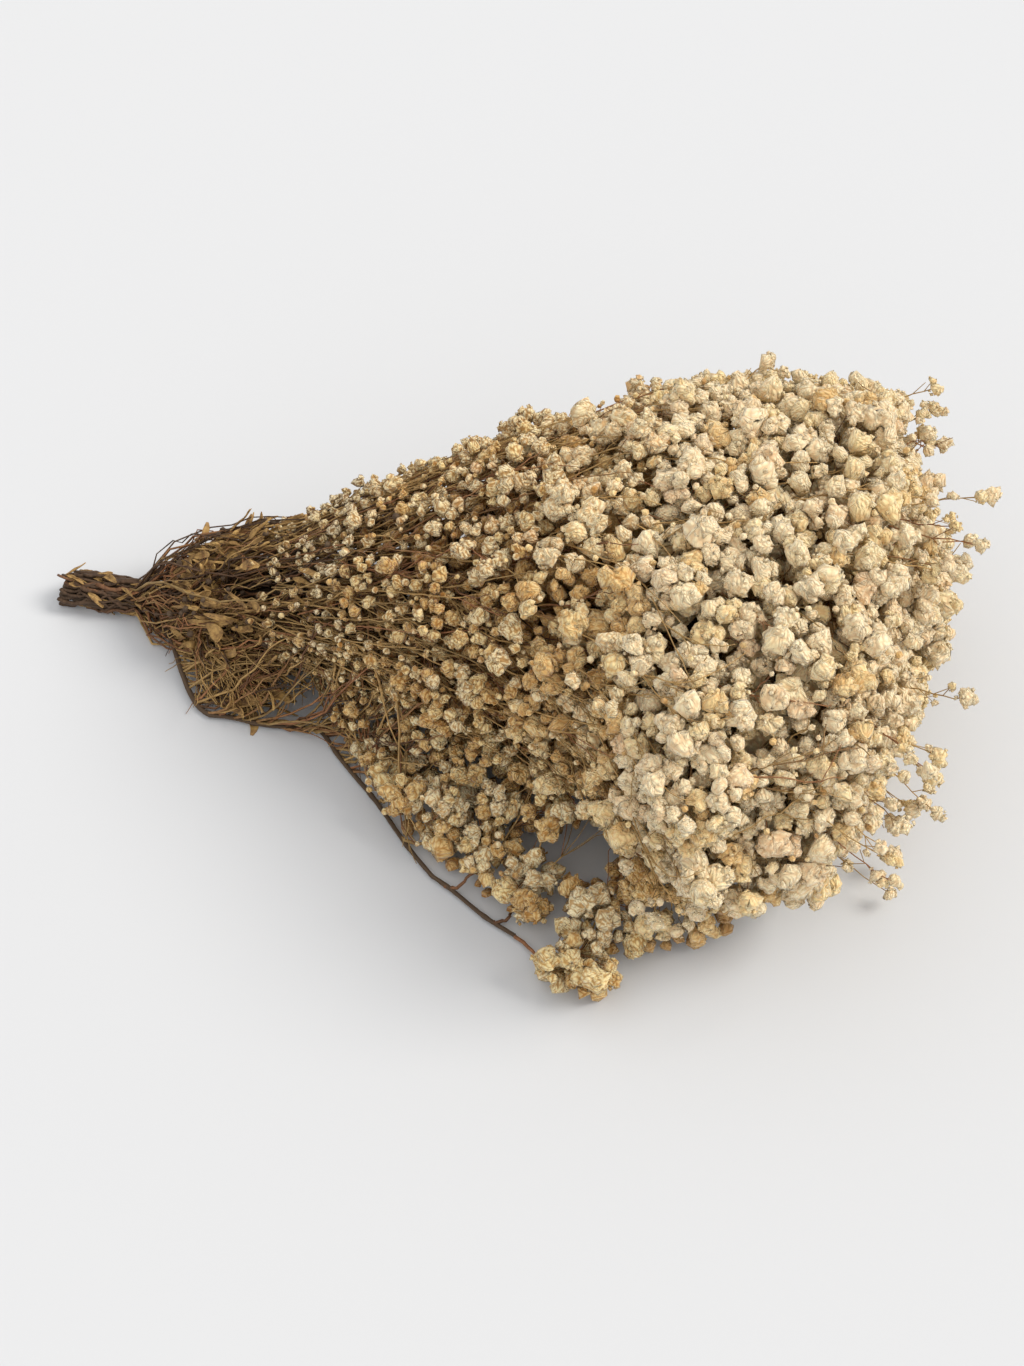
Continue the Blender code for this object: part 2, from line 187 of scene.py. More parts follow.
def fan_point(along, turn, reach):
    """Point of the fan: an ellipse about the axis at x = along + lean (reach - core), at a turn from +Y and
    at a share reach of its half width and half height, flattened where it lies on the surface."""
    along, turn, reach = np.broadcast_arrays(*(np.asarray(v, float) for v in (along, turn, reach)))
    lean = FORWARD_LEAN - (FORWARD_LEAN + BACKWARD_LEAN) * ease((along - 0.15) / 0.25)
    x = along + lean * (reach - CORE)
    far, near, height = fan_section(x)
    width = np.where(np.cos(turn) > 0, far, near)
    past = np.maximum(x - SHOULDER, 0.0) / TIP_ROUND
    rise = height * np.sqrt(np.maximum(1 - 0.6 * past * past, 0.1))
    z = height + rise * reach * np.sin(turn)
    z = z + np.where(np.sin(turn) < 0, SQUASH * ease((x - 0.10) / 0.08) * reach * np.sin(turn), 0.0)
    return np.stack([x, width * reach * np.cos(turn), np.maximum(z, 0.0)], -1)


def fan_normal(along, turn, reach):
    """Outward direction of the fan's surface: the cross product of its slopes along and round."""
    step = 0.001
    slope_along = fan_point(along + step, turn, reach) - fan_point(along - step, turn, reach)
    slope_round = fan_point(along, turn + step, reach) - fan_point(along, turn - step, reach)
    return unit(np.cross(slope_round, slope_along))


def ring_stem_point(number, x):
    """Centre of a stem of the ring at x: packed and twisted in the neck, spread through the fan beyond."""
    x = np.asarray(x, float)
    turn = FIRST_TURN + number * math.tau / RING_STEMS + TWIST * (1 - ease(x / TWIST_LENGTH))
    far, near, height = fan_section(x)
    opening = ease((x - NECK_END) / OPENING_LENGTH)
    width = np.where(np.cos(turn) > 0, far, near)
    across = STEM_RING + (np.maximum(STEM_REACH * width, STEM_RING) - STEM_RING) * opening
    up = STEM_RING + (np.maximum(STEM_REACH * height, STEM_RING) - STEM_RING) * opening
    return np.stack([x, across * np.cos(turn), height + up * np.sin(turn)], -1)


def stray_point(x):
    """Centre of the stray stem at x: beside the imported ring, then bowed out and away over the surface."""
    x = np.asarray(x, float)
    half = math.pi / RING_STEMS
    turn = FIRST_TURN + 7 * half + TWIST * (1 - ease(x / TWIST_LENGTH))
    nested = STEM_RING * math.cos(half) + math.sqrt(STRAY_APART**2 - (STEM_RING * math.sin(half)) ** 2)
    out = STRAY_BOW * ease((x - NECK_END + 0.006) / STRAY_BOW_LENGTH)
    out = out + ramp(x, STRAY_TURN, STRAY_KNEE) + STRAY_SLOPE * ramp(x, STRAY_KNEE, FAN_END)
    beside = AXIS_HEIGHT + nested * np.sin(turn)
    low = STRAY_RADIUS + 0.0006
    z = beside + (low - beside) * ease((x - NECK_END) / 0.04)
    return np.stack([x, nested * np.cos(turn) - out, z], -1)


def across_held(y, inset=0.0):
    """Places across held within the bundle's reach, less an inset on the far side."""
    return np.clip(y, -REACH_OUT - SHIFT[1], REACH_OUT - inset - SHIFT[1])


def puff(x):
    """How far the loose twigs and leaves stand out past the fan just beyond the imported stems."""
    return NECK_PUFF * ease((x - 0.031) / 0.018) * (1 - ease((x - 0.066) / 0.060))


def drawn_in(x, turn):
    """Share by which the far upper side of the fan's last part falls short of its ellipse."""
    return np.interp(x, (0.25, 0.34, 0.43), (0.0, 0.025, 0.115)) * np.cos(turn - 0.6).clip(0, 1)


def held(points, limit):
    """Points drawn in towards the fan's axis where they are past a share limit of its half widths, with the
    puff of the neck added to them."""
    far, near, height = fan_section(points[..., 0])
    loose = puff(points[..., 0])
    width = np.where(points[..., 1] > 0, far, near)
    turn = np.arctan2((points[..., 2] - height) / height, points[..., 1] / width)
    limit = limit * (1 - drawn_in(points[..., 0], turn))
    width = width * limit + loose
    tall = height * limit + loose
    past = np.hypot(points[..., 1] / width, (points[..., 2] - height) / tall)
    scale = 1 / np.maximum(past, 1.0)
    z = np.clip(height + (points[..., 2] - height) * scale, LOWEST, HIGHEST)
    return np.stack([points[..., 0], across_held(points[..., 1] * scale), z], -1)


def puffed(points, share):
    """Points moved away from the fan's axis by a share of the neck's puff."""
    _, _, height = fan_section(points[..., 0])
    way = np.stack([0 * height, points[..., 1], points[..., 2] - height], -1)
    moved = points + unit(way) * (puff(points[..., 0]) * share)[..., None]
    moved[..., 2] = np.maximum(moved[..., 2], LOWEST)
    return moved


def radial(turn):
    """Directions away from the axis at turns from +Y."""
    return np.stack([np.zeros(len(turn)), np.cos(turn), np.sin(turn)], -1)


def ring_turn(first, place, count):
    """Turn of one of the count sprays of a ring, whose first stands at a turn in degrees."""
    return math.radians(first) + place * math.tau / count


def unit(vectors):
    """Vectors of length 1."""
    return vectors / np.maximum(np.linalg.norm(vectors, axis=-1, keepdims=True), 1e-12)


def seeded(name):
    """A random generator that depends only on a name."""
    return np.random.default_rng([ord(letter) for letter in name])


def bundle_shift():
    """Where the cut ends' axis stands in the frame: the middle stem's cut end tells it."""
    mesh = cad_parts["middle_stem"].data
    points = np.empty(len(mesh.vertices) * 3, np.float32)
    mesh.vertices.foreach_get("co", points)
    points = points.reshape(-1, 3)
    cut = points[points[:, 0] < points[:, 0].min() + 1e-4]
    middle = (cut.min(0) + cut.max(0)) / 2
    return np.array([middle[0] - 0.002, middle[1], 0.0])


SHIFT = bundle_shift()


# Shapes. A patch is (points, triangles, map corners, finish number).


def icosahedron():
    """Corners and faces of an icosahedron of radius 1."""
    golden = (1 + 5**0.5) / 2
    corners = [(-1, golden, 0), (1, golden, 0), (-1, -golden, 0), (1, -golden, 0)]
    corners += [(0, -1, golden), (0, 1, golden), (0, -1, -golden), (0, 1, -golden)]
    corners += [(golden, 0, -1), (golden, 0, 1), (-golden, 0, -1), (-golden, 0, 1)]
    faces = [(0, 11, 5), (0, 5, 1), (0, 1, 7), (0, 7, 10), (0, 10, 11), (1, 5, 9), (5, 11, 4)]
    faces += [(11, 10, 2), (10, 7, 6), (7, 1, 8), (3, 9, 4), (3, 4, 2), (3, 2, 6), (3, 6, 8)]
    faces += [(3, 8, 9), (4, 9, 5), (2, 4, 11), (6, 2, 10), (8, 6, 7), (9, 8, 1)]
    return unit(np.array(corners, float)), np.array(faces)


def outward(points, faces):
    """Turns round each closed shape whose faces point inwards. points is (shapes, corners, 3) and faces is
    (faces, 3); the sign of the sum of a . (b x c) over the faces tells which way a shape points."""
    middle = points.mean(1, keepdims=True)
    a, b, c = ((points - middle)[:, faces[:, k]] for k in range(3))
    volume = (a * np.cross(b, c)).sum((-1, -2))
    every = faces[None] + np.arange(len(points))[:, None, None] * points.shape[1]
    return np.where((volume < 0)[:, None, None], every[:, :, ::-1], every).reshape(-1, 3)


def copies(faces, count, corners):
    """Faces of count shapes alike, each of which has so many corners of its own."""
    return (faces[None] + np.arange(count)[:, None, None] * corners).reshape(-1, 3)


def basis(axes, spins):
    """A square set of directions for each axis, turned about it by a spin: (shapes, 3, 3), rows are side,
    other side and axis."""
    axes = unit(axes)
    helper = np.where(np.abs(axes[:, 2:3]) < 0.8, [[0.0, 0.0, 1.0]], [[1.0, 0.0, 0.0]])
    side = unit(np.cross(helper, axes))
    other = np.cross(axes, side)
    cosine, sine = np.cos(spins)[:, None], np.sin(spins)[:, None]
    return np.stack([side * cosine + other * sine, other * cosine - side * sine, axes], 1)


def tint_map(tints, depths, band):
    """Map corners: the tint across, and the depth within its band."""
    low, high = band
    tints, depths = np.broadcast_arrays(tints, depths)
    return np.stack([np.clip(tints, 0.01, 0.99), low + (high - low) * np.clip(depths, 0.0, 1.0)], -1)


@lru_cache(maxsize=None)
def ball(cuts):
    """A round ball that unfolds onto a square: its corners, its faces, and the places on the square of the
    faces' corners. Each face of an octahedron is cut into cuts x cuts triangles and pushed out to radius 1;
    the upper four faces fill a diamond in the square and the lower four its corners."""
    tips = np.array([(1, 0, 0), (0, 1, 0), (-1, 0, 0), (0, -1, 0), (0, 0, 1), (0, 0, -1)], float)
    waist = [(1.0, 0.5), (0.5, 1.0), (0.0, 0.5), (0.5, 0.0)]
    edges = [(1.0, 1.0), (0.0, 1.0), (0.0, 0.0), (1.0, 0.0)]
    faces, places = [], []
    for one in range(4):
        two = (one + 1) % 4
        faces += [(one, two, 4), (two, one, 5)]
        places += [(waist[one], waist[two], (0.5, 0.5)), (waist[two], waist[one], edges[one])]
    grid = [(i, j) for i in range(cuts + 1) for j in range(cuts + 1 - i)]
    number = {place: row for row, place in enumerate(grid)}
    small = [(number[i, j], number[i + 1, j], number[i, j + 1]) for i, j in grid if i + j < cuts]
    small += [(number[i + 1, j], number[i + 1, j + 1], number[i, j + 1]) for i, j in grid if i + j < cuts - 1]
    shares = np.array([(cuts - i - j, i, j) for i, j in grid], float) / cuts
    corners = (shares[None, :, :, None] * tips[np.array(faces)][:, None]).sum(2).reshape(-1, 3)
    square = (shares[None, :, :, None] * np.array(places)[:, None]).sum(2).reshape(-1, 2)
    _, first, same = np.unique(corners.round(5), axis=0, return_index=True, return_inverse=True)
    every = copies(np.array(small), len(faces), len(grid))
    return unit(corners[first]), same.reshape(-1)[every], square[every]


def crumpled(centres, axes, radii, tints, cuts, rng, low=0.70, high=0.36):
    """Crumpled balls: a corner in direction d stands at r (1 + a sin(k.d)) d, where d is moved sideways at
    random and r is low + high h, h being small in the creases and large on the petals between them. Each
    is unfolded onto a square of the tint map, as large as the ball is and as far along as its tint."""
    points, faces, square = ball(cuts)
    count = len(centres)
    heights = rng.random((count, len(points), 1))
    heights = np.where(heights < 0.4, heights * 0.75, 0.40 + 0.60 * heights)
    heading = unit(points + rng.normal(size=(count, len(points), 3)) * 0.15)
    lobes = 1.0
    for waves, size in ((2.5, 0.10), (4.0, 0.08)):
        toward = rng.normal(size=(count, 1, 3)) * waves
        phase = rng.uniform(0, 6, (count, 1, 1))
        lobes = lobes + size * np.sin((heading * toward).sum(-1, keepdims=True) + phase)
    shape = heading * (low + high * heights) * lobes
    turned = basis(unit(rng.normal(size=(count, 3))), rng.uniform(0, math.tau, count))
    shape = shape[:, :, None] @ turned[:, None]
    along = (shape @ unit(axes)[:, None, :, None]).squeeze(-1)
    shape = shape.squeeze(2) + along * unit(axes)[:, None] * rng.uniform(-0.26, 0.06, (count, 1, 1))
    world = shape * radii[:, None, None] + centres[:, None]
    side = BALL_ON_MAP * np.clip(radii / 0.0058, 0.2, 1.0)
    across = np.clip(tints, 0, 1) * (0.98 - side) + 0.01
    up = PETAL_BAND[0] + (PETAL_BAND[1] - PETAL_BAND[0] - side) * rng.random(count)
    maps = square[None] * side[:, None, None, None] + np.stack([across, up], -1)[:, None, None]
    return (world.reshape(-1, 3), copies(faces, count, len(points)), maps.reshape(-1, 3, 2), 0)


def flowers(centres, axes, radii, tints, lobes, crumbs, rng):
    """Double flowers: a crumpled ball, smaller ones that bulge from its sides and top, and crumbs that
    break its outline. The middle of a lobe is 0.5 to 0.7 radii out and that of a crumb 0.7 to 0.9, in a
    direction of the half that the flower faces."""
    cuts = 3 if lobes > 2 else 2
    patches = [crumpled(centres, axes, radii * (0.95 - 0.09 * (lobes > 0)), tints, cuts, rng)]
    for parts, near, far, small, large, cuts in (
        (lobes, 0.50, 0.72, 0.36, 0.62, 2),
        (crumbs, 0.68, 0.86, 0.18, 0.32, 1),
    ):
        if parts:
            owner = np.repeat(np.arange(len(centres)), parts)
            way = unit(unit(axes)[owner] * 0.42 + rng.normal(size=(len(owner), 3)))
            middle = centres[owner] + way * (radii[owner] * rng.uniform(near, far, len(owner)))[:, None]
            size = radii[owner] * rng.uniform(small, large, len(owner))
            middle[:, 2] = np.maximum(middle[:, 2], size * 0.9)
            hues = tints[owner] + rng.normal(size=len(owner)) * 0.035
            patches.append(crumpled(middle, way, size, hues, cuts, rng, 0.64, 0.50))
    return patches


def buds(centres, axes, radii, tints, rng):
    """Closed buds: an icosahedron drawn out along its axis, with its radius varied corner by corner."""
    corners, faces = icosahedron()
    count = len(centres)
    points = corners[None] * rng.uniform(0.88, 1.08, (count, 12, 1)) * np.array([1.0, 1.0, 1.25])
    world = (points[:, :, None, :] @ basis(axes, rng.uniform(0, 6, count))[:, None]).squeeze(2)
    world = world * radii[:, None, None] + centres[:, None]
    triangles = outward(world, faces)
    depth = rng.uniform(0.1, 0.9, (count, 1)) + 0.03 * corners[None, :, 2]
    tint = tints[:, None] + 0.012 * corners[None, :, 0]
    return (world.reshape(-1, 3), triangles, tint_map(tint, depth, PETAL_BAND).reshape(-1, 2)[triangles], 0)


def rod_faces(rows, sides):
    """Triangles of a closed rod with rows rings of sides corners: two for each square of its wall, then a
    fan to the point before the first ring and one to the point past the last. Both follow the corners."""
    spoke = np.arange(sides)
    after = (spoke + 1) % sides
    start, end = np.arange(rows - 1)[:, None] * sides, (rows - 1) * sides
    here, beside = start + spoke, start + after
    one = np.stack([here, here + sides, beside + sides], -1).reshape(-1, 3)
    two = np.stack([here, beside + sides, beside], -1).reshape(-1, 3)
    cut = np.stack([np.full(sides, rows * sides), spoke, after], -1)
    point = np.stack([np.full(sides, rows * sides + 1), end + after, end + spoke], -1)
    return np.concatenate([one, two, cut, point])


def tubes(paths, first_radius, last_radius, sides, tints):
    """Closed round rods: at each station of a path a ring r (cos a side + sin a up) square to the path, and
    a pointed cap at each end. paths is (rods, stations, 3) and r runs evenly from the first to the last."""
    rods, stations, _ = paths.shape
    radii = tapered(paths, first_radius, last_radius)
    ahead = unit(np.gradient(paths, axis=1))
    main = unit(paths[:, -1] - paths[:, 0])
    helper = np.where(np.abs(main[:, 2:3]) < 0.8, [[0.0, 0.0, 1.0]], [[0.0, 1.0, 0.0]])
    side = unit(np.cross(ahead, helper[:, None]))
    up = np.cross(side, ahead)
    angle = np.arange(sides) / sides * math.tau + 0.3
    ring = np.cos(angle)[:, None] * side[:, :, None] + np.sin(angle)[:, None] * up[:, :, None]
    rings = paths[:, :, None] + ring * radii[:, :, None, None]
    first = paths[:, :1] - ahead[:, :1] * radii[:, :1, None] * 0.4
    last = paths[:, -1:] + ahead[:, -1:] * radii[:, -1:, None] * 0.8
    points = np.concatenate([rings.reshape(rods, -1, 3), first, last], 1)
    triangles = copies(rod_faces(stations, sides), rods, points.shape[1])
    share = np.repeat(np.linspace(0.04, 0.96, stations), sides)
    share = np.broadcast_to(np.concatenate([share, [0.0, 1.0]]), (rods, len(share) + 2))
    spread = np.concatenate([np.tile(np.cos(angle), stations), [0.1, -0.1]]) * 0.012
    maps = tint_map(tints[:, None] + spread, share, TWIG_BAND).reshape(-1, 2)
    return (points.reshape(-1, 3), triangles, maps[triangles], 1)


def bends(starts, leaves, arrives, ends, stations):
    """Smooth paths: cubic Bezier curves from starts to ends through two handles. All are (paths, 3)."""
    t = np.linspace(0.0, 1.0, stations)[None, :, None]
    one, two, three, four = (p[:, None] for p in (starts, starts + leaves, ends - arrives, ends))
    return (1 - t) ** 3 * one + 3 * (1 - t) ** 2 * t * two + 3 * (1 - t) * t * t * three + t**3 * four


def kinked(paths, size, rng):
    """Paths with a slight zigzag: every station but the first and last moves sideways by up to size."""
    moved = paths.copy()
    moved[:, 1:-1] += rng.normal(size=moved[:, 1:-1].shape) * size
    return moved


def tapered(paths, first, last):
    """Radii that run evenly from first to last along each path."""
    t = np.linspace(0.0, 1.0, paths.shape[1])
    return np.asarray(first)[..., None] * (1 - t) + np.asarray(last)[..., None] * t * np.ones((len(paths), 1))


def bark(path, radii, sides, rng, ridge=0.10):
    """The bark of a stem: a ring at each station of its path whose radius r (1 + ridge n(a, x)) carries
    lengthwise wrinkles n, with a flat sawn end and a pointed tip. The map has the length across and the
    turn up, so that streaks follow the stem."""
    stations = len(path)
    ahead = unit(np.gradient(path, axis=0))
    side = unit(np.cross(ahead, np.array([0.0, 0.0, 1.0])))
    up = np.cross(side, ahead)
    angle = np.linspace(0, math.tau, sides, endpoint=False)
    steps = np.linspace(0, 1, stations)[:, None]
    wrinkle = np.zeros((stations, sides))
    for waves in (2, 3, 5):
        drift, phase = rng.uniform(-9, 9), rng.uniform(0, 6)
        wrinkle += np.sin(waves * angle + drift * steps + phase + 0.6 * np.sin(7 * steps + phase))
    wrinkle += rng.normal(size=wrinkle.shape) * 0.5
    radius = radii[:, None] * (1 + ridge * wrinkle / 1.6)
    ring = np.cos(angle)[:, None] * side[:, None] + np.sin(angle)[:, None] * up[:, None]
    rings = path[:, None] + ring * radius[..., None]
    sawn = path[:1, None] + ring[:1] * radius[:1, :, None] * 0.72 + ahead[:1, None] * radii[0] * 0.10
    middle = path[:1] + ahead[:1] * radii[0] * 0.25
    tip = path[-1:] + ahead[-1:] * radii[-1]
    points = np.concatenate([sawn.reshape(-1, 3), rings.reshape(-1, 3), middle, tip])
    rows = stations + 1
    length = np.concatenate([[0.004], np.linspace(0.012, 0.985, stations)])
    low, high = PETAL_BAND
    around = low + (high - low) * np.arange(sides + 1) / sides

    def corners(*places):
        return np.stack([np.stack([length[row], around[spoke]], -1) for row, spoke in places], 1)

    row, spoke = np.repeat(np.arange(rows - 1), sides), np.tile(np.arange(sides), rows - 1)
    maps = [corners((row, spoke), (row + 1, spoke), (row + 1, spoke + 1))]
    maps.append(corners((row, spoke), (row + 1, spoke + 1), (row, spoke + 1)))
    row, spoke = np.zeros(sides, int), np.arange(sides)
    maps.append(corners((row, spoke), (row, spoke), (row, spoke + 1)))
    maps[-1][:, 0, 0] *= 0.2
    row = row + rows - 1
    maps.append(corners((row, spoke), (row, spoke + 1), (row, spoke)))
    maps[-1][:, 0, 0] += 0.01
    return (points, rod_faces(rows, sides), np.concatenate(maps), 0)


def leaf_blades(roots, headings, outs, lengths, widths, curls, rng):
    """Curled dry leaves: the rib turns from its heading towards and past out by curl radians over its
    length, the half width is w sin(pi s) ^ 0.8 towards a point, and the two halves fold up from the rib and
    ripple at their edges by sin waves. One grid of stations by places across for each leaf."""
    count, stations, across = len(roots), 10, 5
    s = np.linspace(0.0, 1.0, stations)
    t = np.linspace(-1.0, 1.0, across)
    headings = unit(headings)
    outs = unit(outs - headings * (outs * headings).sum(-1, keepdims=True))
    sides = np.cross(outs, headings)
    bend = curls[:, None] * s**1.4
    sway = rng.uniform(-0.7, 0.7, (count, 1)) * s
    ahead = headings[:, None] * np.cos(bend)[..., None] + outs[:, None] * np.sin(bend)[..., None]
    ahead = unit(ahead + sides[:, None] * sway[..., None])
    rib = np.cumsum(ahead * (lengths / (stations - 1))[:, None, None], 1) + roots[:, None]
    twist = rng.uniform(-1.3, 1.3, (count, 1)) * s
    flat = unit(sides[:, None] - ahead * (sides[:, None] * ahead).sum(-1, keepdims=True))
    over = np.cross(ahead, flat)
    across_way = flat * np.cos(twist)[..., None] + over * np.sin(twist)[..., None]
    over = np.cross(ahead, across_way)
    half = widths[:, None] / 2 * (0.10 + 0.90 * np.sin(np.pi * np.minimum(s * 0.93 + 0.02, 1.0)) ** 0.8)
    roll = rng.uniform(0.5, 1.7, (count, 1, 1))
    edge = np.abs(t)[None, None]
    phase = rng.uniform(0, 6, (count, 1, 1))
    ripple = 0.22 * np.sin(9 * s[None, :, None] + phase + 1.5 * t[None, None]) * edge
    sideways = np.sin(t[None, None] * roll) / roll
    upwards = (1 - np.cos(t[None, None] * roll)) / roll + ripple
    points = rib[:, :, None] + half[:, :, None, None] * (
        sideways[..., None] * across_way[:, :, None] + upwards[..., None] * over[:, :, None]
    )
    row, column = np.meshgrid(np.arange(stations - 1), np.arange(across - 1), indexing="ij")
    here = (row * across + column).ravel()
    one = np.stack([here, here + 1, here + across + 1], -1)
    two = np.stack([here, here + across + 1, here + across], -1)
    triangles = copies(np.concatenate([one, two]), count, stations * across)
    grid_s = np.broadcast_to(s[None, :, None], (count, stations, across))
    grid_t = np.broadcast_to(t[None, None], (count, stations, across))
    lane = (np.arange(count)[:, None, None] + 0.5 + 0.42 * grid_t) / count
    low, high = PETAL_BAND
    maps = np.stack([0.02 + 0.96 * grid_s, low + (high - low) * lane], -1).reshape(-1, 2)
    return (points.reshape(-1, 3), triangles, maps[triangles], 0)


def new_piece(name, patches, looks, stands_for):
    """Writes patches as one mesh, with its map and finishes, hides the CAD part that it stands for and hangs
    it under the root body.
    """
    points, faces, maps, slots, count = [], [], [], [], 0
    for patch_points, patch_faces, patch_maps, finish in patches:
        points.append(patch_points)
        faces.append(patch_faces + count)
        maps.append(patch_maps)
        slots.append(np.full(len(patch_faces), finish))
        count += len(patch_points)
    points = np.concatenate(points) + SHIFT
    points[:, 2] = np.maximum(points[:, 2], SURFACE_GAP)
    faces, maps, slots = np.concatenate(faces), np.concatenate(maps), np.concatenate(slots)
    mesh = bpy.data.meshes.new(name)
    mesh.vertices.add(len(points))
    mesh.vertices.foreach_set("co", points.astype(np.float32).ravel())
    mesh.loops.add(faces.size)
    mesh.loops.foreach_set("vertex_index", faces.astype(np.int32).ravel())
    mesh.polygons.add(len(faces))
    mesh.polygons.foreach_set("loop_start", np.arange(0, faces.size, 3, dtype=np.int32))
    mesh.polygons.foreach_set("material_index", slots.astype(np.int32))
    mesh.polygons.foreach_set("use_smooth", np.ones(len(faces), bool))
    layer = mesh.uv_layers.new(name=MAP)
    layer.data.foreach_set("uv", maps.astype(np.float32).ravel())
    for look in looks:
        mesh.materials.append(look)
    mesh.update(calc_edges=True)
    mesh.validate()
    made = bpy.data.objects.new(name, mesh)
    bpy.context.scene.collection.objects.link(made)
    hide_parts(stands_for)
    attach(made, "root")
    return made


# Where the flowers stand.


def clear_of(point, radius, spacing, taken, taken_radii):
    """True if no flower that stands is nearer than spacing times the two radii."""
    if not len(taken):
        return True
    apart = np.linalg.norm(taken - point, axis=1)
    return bool((apart > spacing * (radius + taken_radii)).all())


def hollows(points):
    """Soft unevenness of the fan's surface, from -1 to 1: a sum of sines of the place."""
    total = 0.0
    waves = ((61, 33, 47), (-43, 71, 29), (97, -58, 66), (120, 90, -75))
    for wave, phase in zip(waves, (0.4, 2.2, 4.1, 1.0)):
        total = total + np.sin(points @ np.array(wave, float) + phase)
    return total / 2.6


def candidates(layer, rng):
    """Places that flowers of one layer may take: (spray, point, outward direction, along) rows."""
    rows = []
    for name, start, stop, count, first in RINGS:
        tries = TRIES[name] // (2 if layer in {"deep", "core"} and name not in {"lower", "inner"} else 1)
        along = rng.uniform(start - 0.0015, stop + 0.0015, tries)
        turn = rng.uniform(0, math.tau, tries)
        if layer == "outer":
            uneven = np.interp(along, (0.15, 0.30), (0.050, 0.090))
            reach = 0.950 - drawn_in(along, turn) + uneven * hollows(fan_point(along, turn, 1.0))
            reach += rng.uniform(-0.05, 0.03, tries)
            reach = np.minimum(reach, 1.04)
        elif layer == "second":
            reach = rng.uniform(0.76, 0.90, tries) + np.interp(along, (0.24, 0.32), (0.0, 0.055))
        else:
            reach = rng.uniform(0.50, 0.70, tries) if layer == "deep" else rng.uniform(0.0, 0.45, tries)
        if name == "crown" and layer in {"outer", "second"}:
            face = np.arange(tries) % 2 == 0
            rim = 0.97 - drawn_in(along[face], turn[face])
            reach[face] = np.sqrt(rng.uniform(0.15, 1.0, face.sum())) * rim
            depth = 0.0 if layer == "outer" else 0.012
            dents = hollows(fan_point(along[face], turn[face], reach[face]) * 1.3 + 5.0)
            shake = rng.uniform(-0.003, 0.003, face.sum())
            along[face] = stop - depth + shake - 0.002 - 0.014 * dents.clip(-0.3, 1)
        points = fan_point(along, turn, reach)
        normals = fan_normal(along, turn, np.maximum(reach, 0.3))
        if name == "crown":
            ends = np.clip((along - 0.395) / 0.02, 0, 1)[:, None]
            normals = unit(normals * (1 - 0.7 * ends) + np.array([1.0, 0, 0]) * ends)
        half = math.pi / count
        place = np.floor(((turn - math.radians(first) + half) % math.tau) / (2 * half)).astype(int)
        rows += [
            (f"{name}_spray_{number + 1}", point, normal, at)
            for number, point, normal, at in zip(np.clip(place, 0, count - 1), points, normals, along)
        ]
    if layer in {"outer", "second"}:
        far, _, height = fan_section(TIP_CENTRE)
        middle = np.array([TIP_CENTRE, 0.0, height])
        half_sizes = np.array([TIP_HALF - 0.004, TIP_REACH * far, TIP_REACH * height])
        shrink = 1.0 if layer == "outer" else 0.55
        rows += around("tip_spray", middle, half_sizes * shrink, 700, 0.42, rng)
        rows += wedge(layer, rng)
        for number, (x, out, half) in enumerate(STRAY_CLUMPS):
            middle = np.array([x, -out, half[2] * 0.95])
            half_sizes = (np.array(half) - 0.0035) * shrink
            rows += around(f"stray_spray_{number + 1}", middle, half_sizes, 500, 0.28, rng)
    order = rng.permutation(len(rows))
    return [rows[place] for place in order]


def wedge(layer, rng, tries=3600):
    """Places over the low apron of flowers between the fan's near side and the stray stem. Each belongs to
    the nearest clump of the stray stem, and the surface shows through three openings."""
    x = rng.uniform(0.150, 0.350, tries)
    share = rng.random(tries)
    _, near, _ = fan_section(x)
    beyond = np.interp(x, (STRAY_END, 0.295, 0.35), (0.133, 0.157, 0.142))
    stem = np.where(x < STRAY_END, -stray_point(x)[:, 1] - 0.007, beyond)
    y = -(near * 0.88 + (stem - near * 0.88) * share)
    top = 0.046 + (0.014 - 0.046) * share
    z = top * (rng.uniform(0.85, 1.05, tries) if layer == "outer" else rng.uniform(0.3, 0.6, tries))
    z = z + 0.006 * hollows(np.stack([x, y, 0 * x], -1) * 1.5) * (layer == "outer")
    points = np.stack([x, y, z], -1)
    shut = np.ones(tries, bool)
    for middle, radius in OPENINGS:
        shut &= np.linalg.norm(points[:, :2] - LEAN * points[:, 2:] - middle, axis=1) > radius
    clumps = np.array([(at, -out, half[2]) for at, out, half in STRAY_CLUMPS])
    owner = np.linalg.norm(points[:, None] - clumps[None], axis=2).argmin(1)
    normal = unit(np.array([0.1, -0.55, 0.9]))
    names = [f"stray_spray_{own + 1}" if at < 0.312 else "full_spray_4" for own, at in zip(owner, x)]
    shut &= rng.random(tries) < np.interp(x, (0.150, 0.185), (0.15, 1.0))
    size_at = np.interp(x, (0.15, 0.24), (0.14, 0.26) if layer == "outer" else (0.13, 0.215))
    rows = zip(names, points, size_at, shut)
    return [(name, point, normal, float(at)) for name, point, at, keep in rows if keep]


def around(name, middle, half_sizes, tries, along, rng):
    """Places on an ellipsoid, with its outward directions."""
    out = unit(rng.normal(size=(tries, 3)))
    points = middle + out * half_sizes * rng.uniform(0.9, 1.0, (tries, 1))
    return [(name, point, normal, along) for point, normal in zip(points, unit(out / half_sizes))]


def cluster_seeds(rng):
    """Middles of the clusters that the outer flowers gather in, a set distance apart over the fan."""
    found = []
    for _, point, _, along in candidates("outer", rng)[:SEED_PLACES]:
        apart = np.interp(along, SIZE_AT, CLUSTER_SPACING)
        if not found or (np.linalg.norm(np.array(found) - point, axis=1) > apart).all():
            found.append(point)
    return np.array(found)


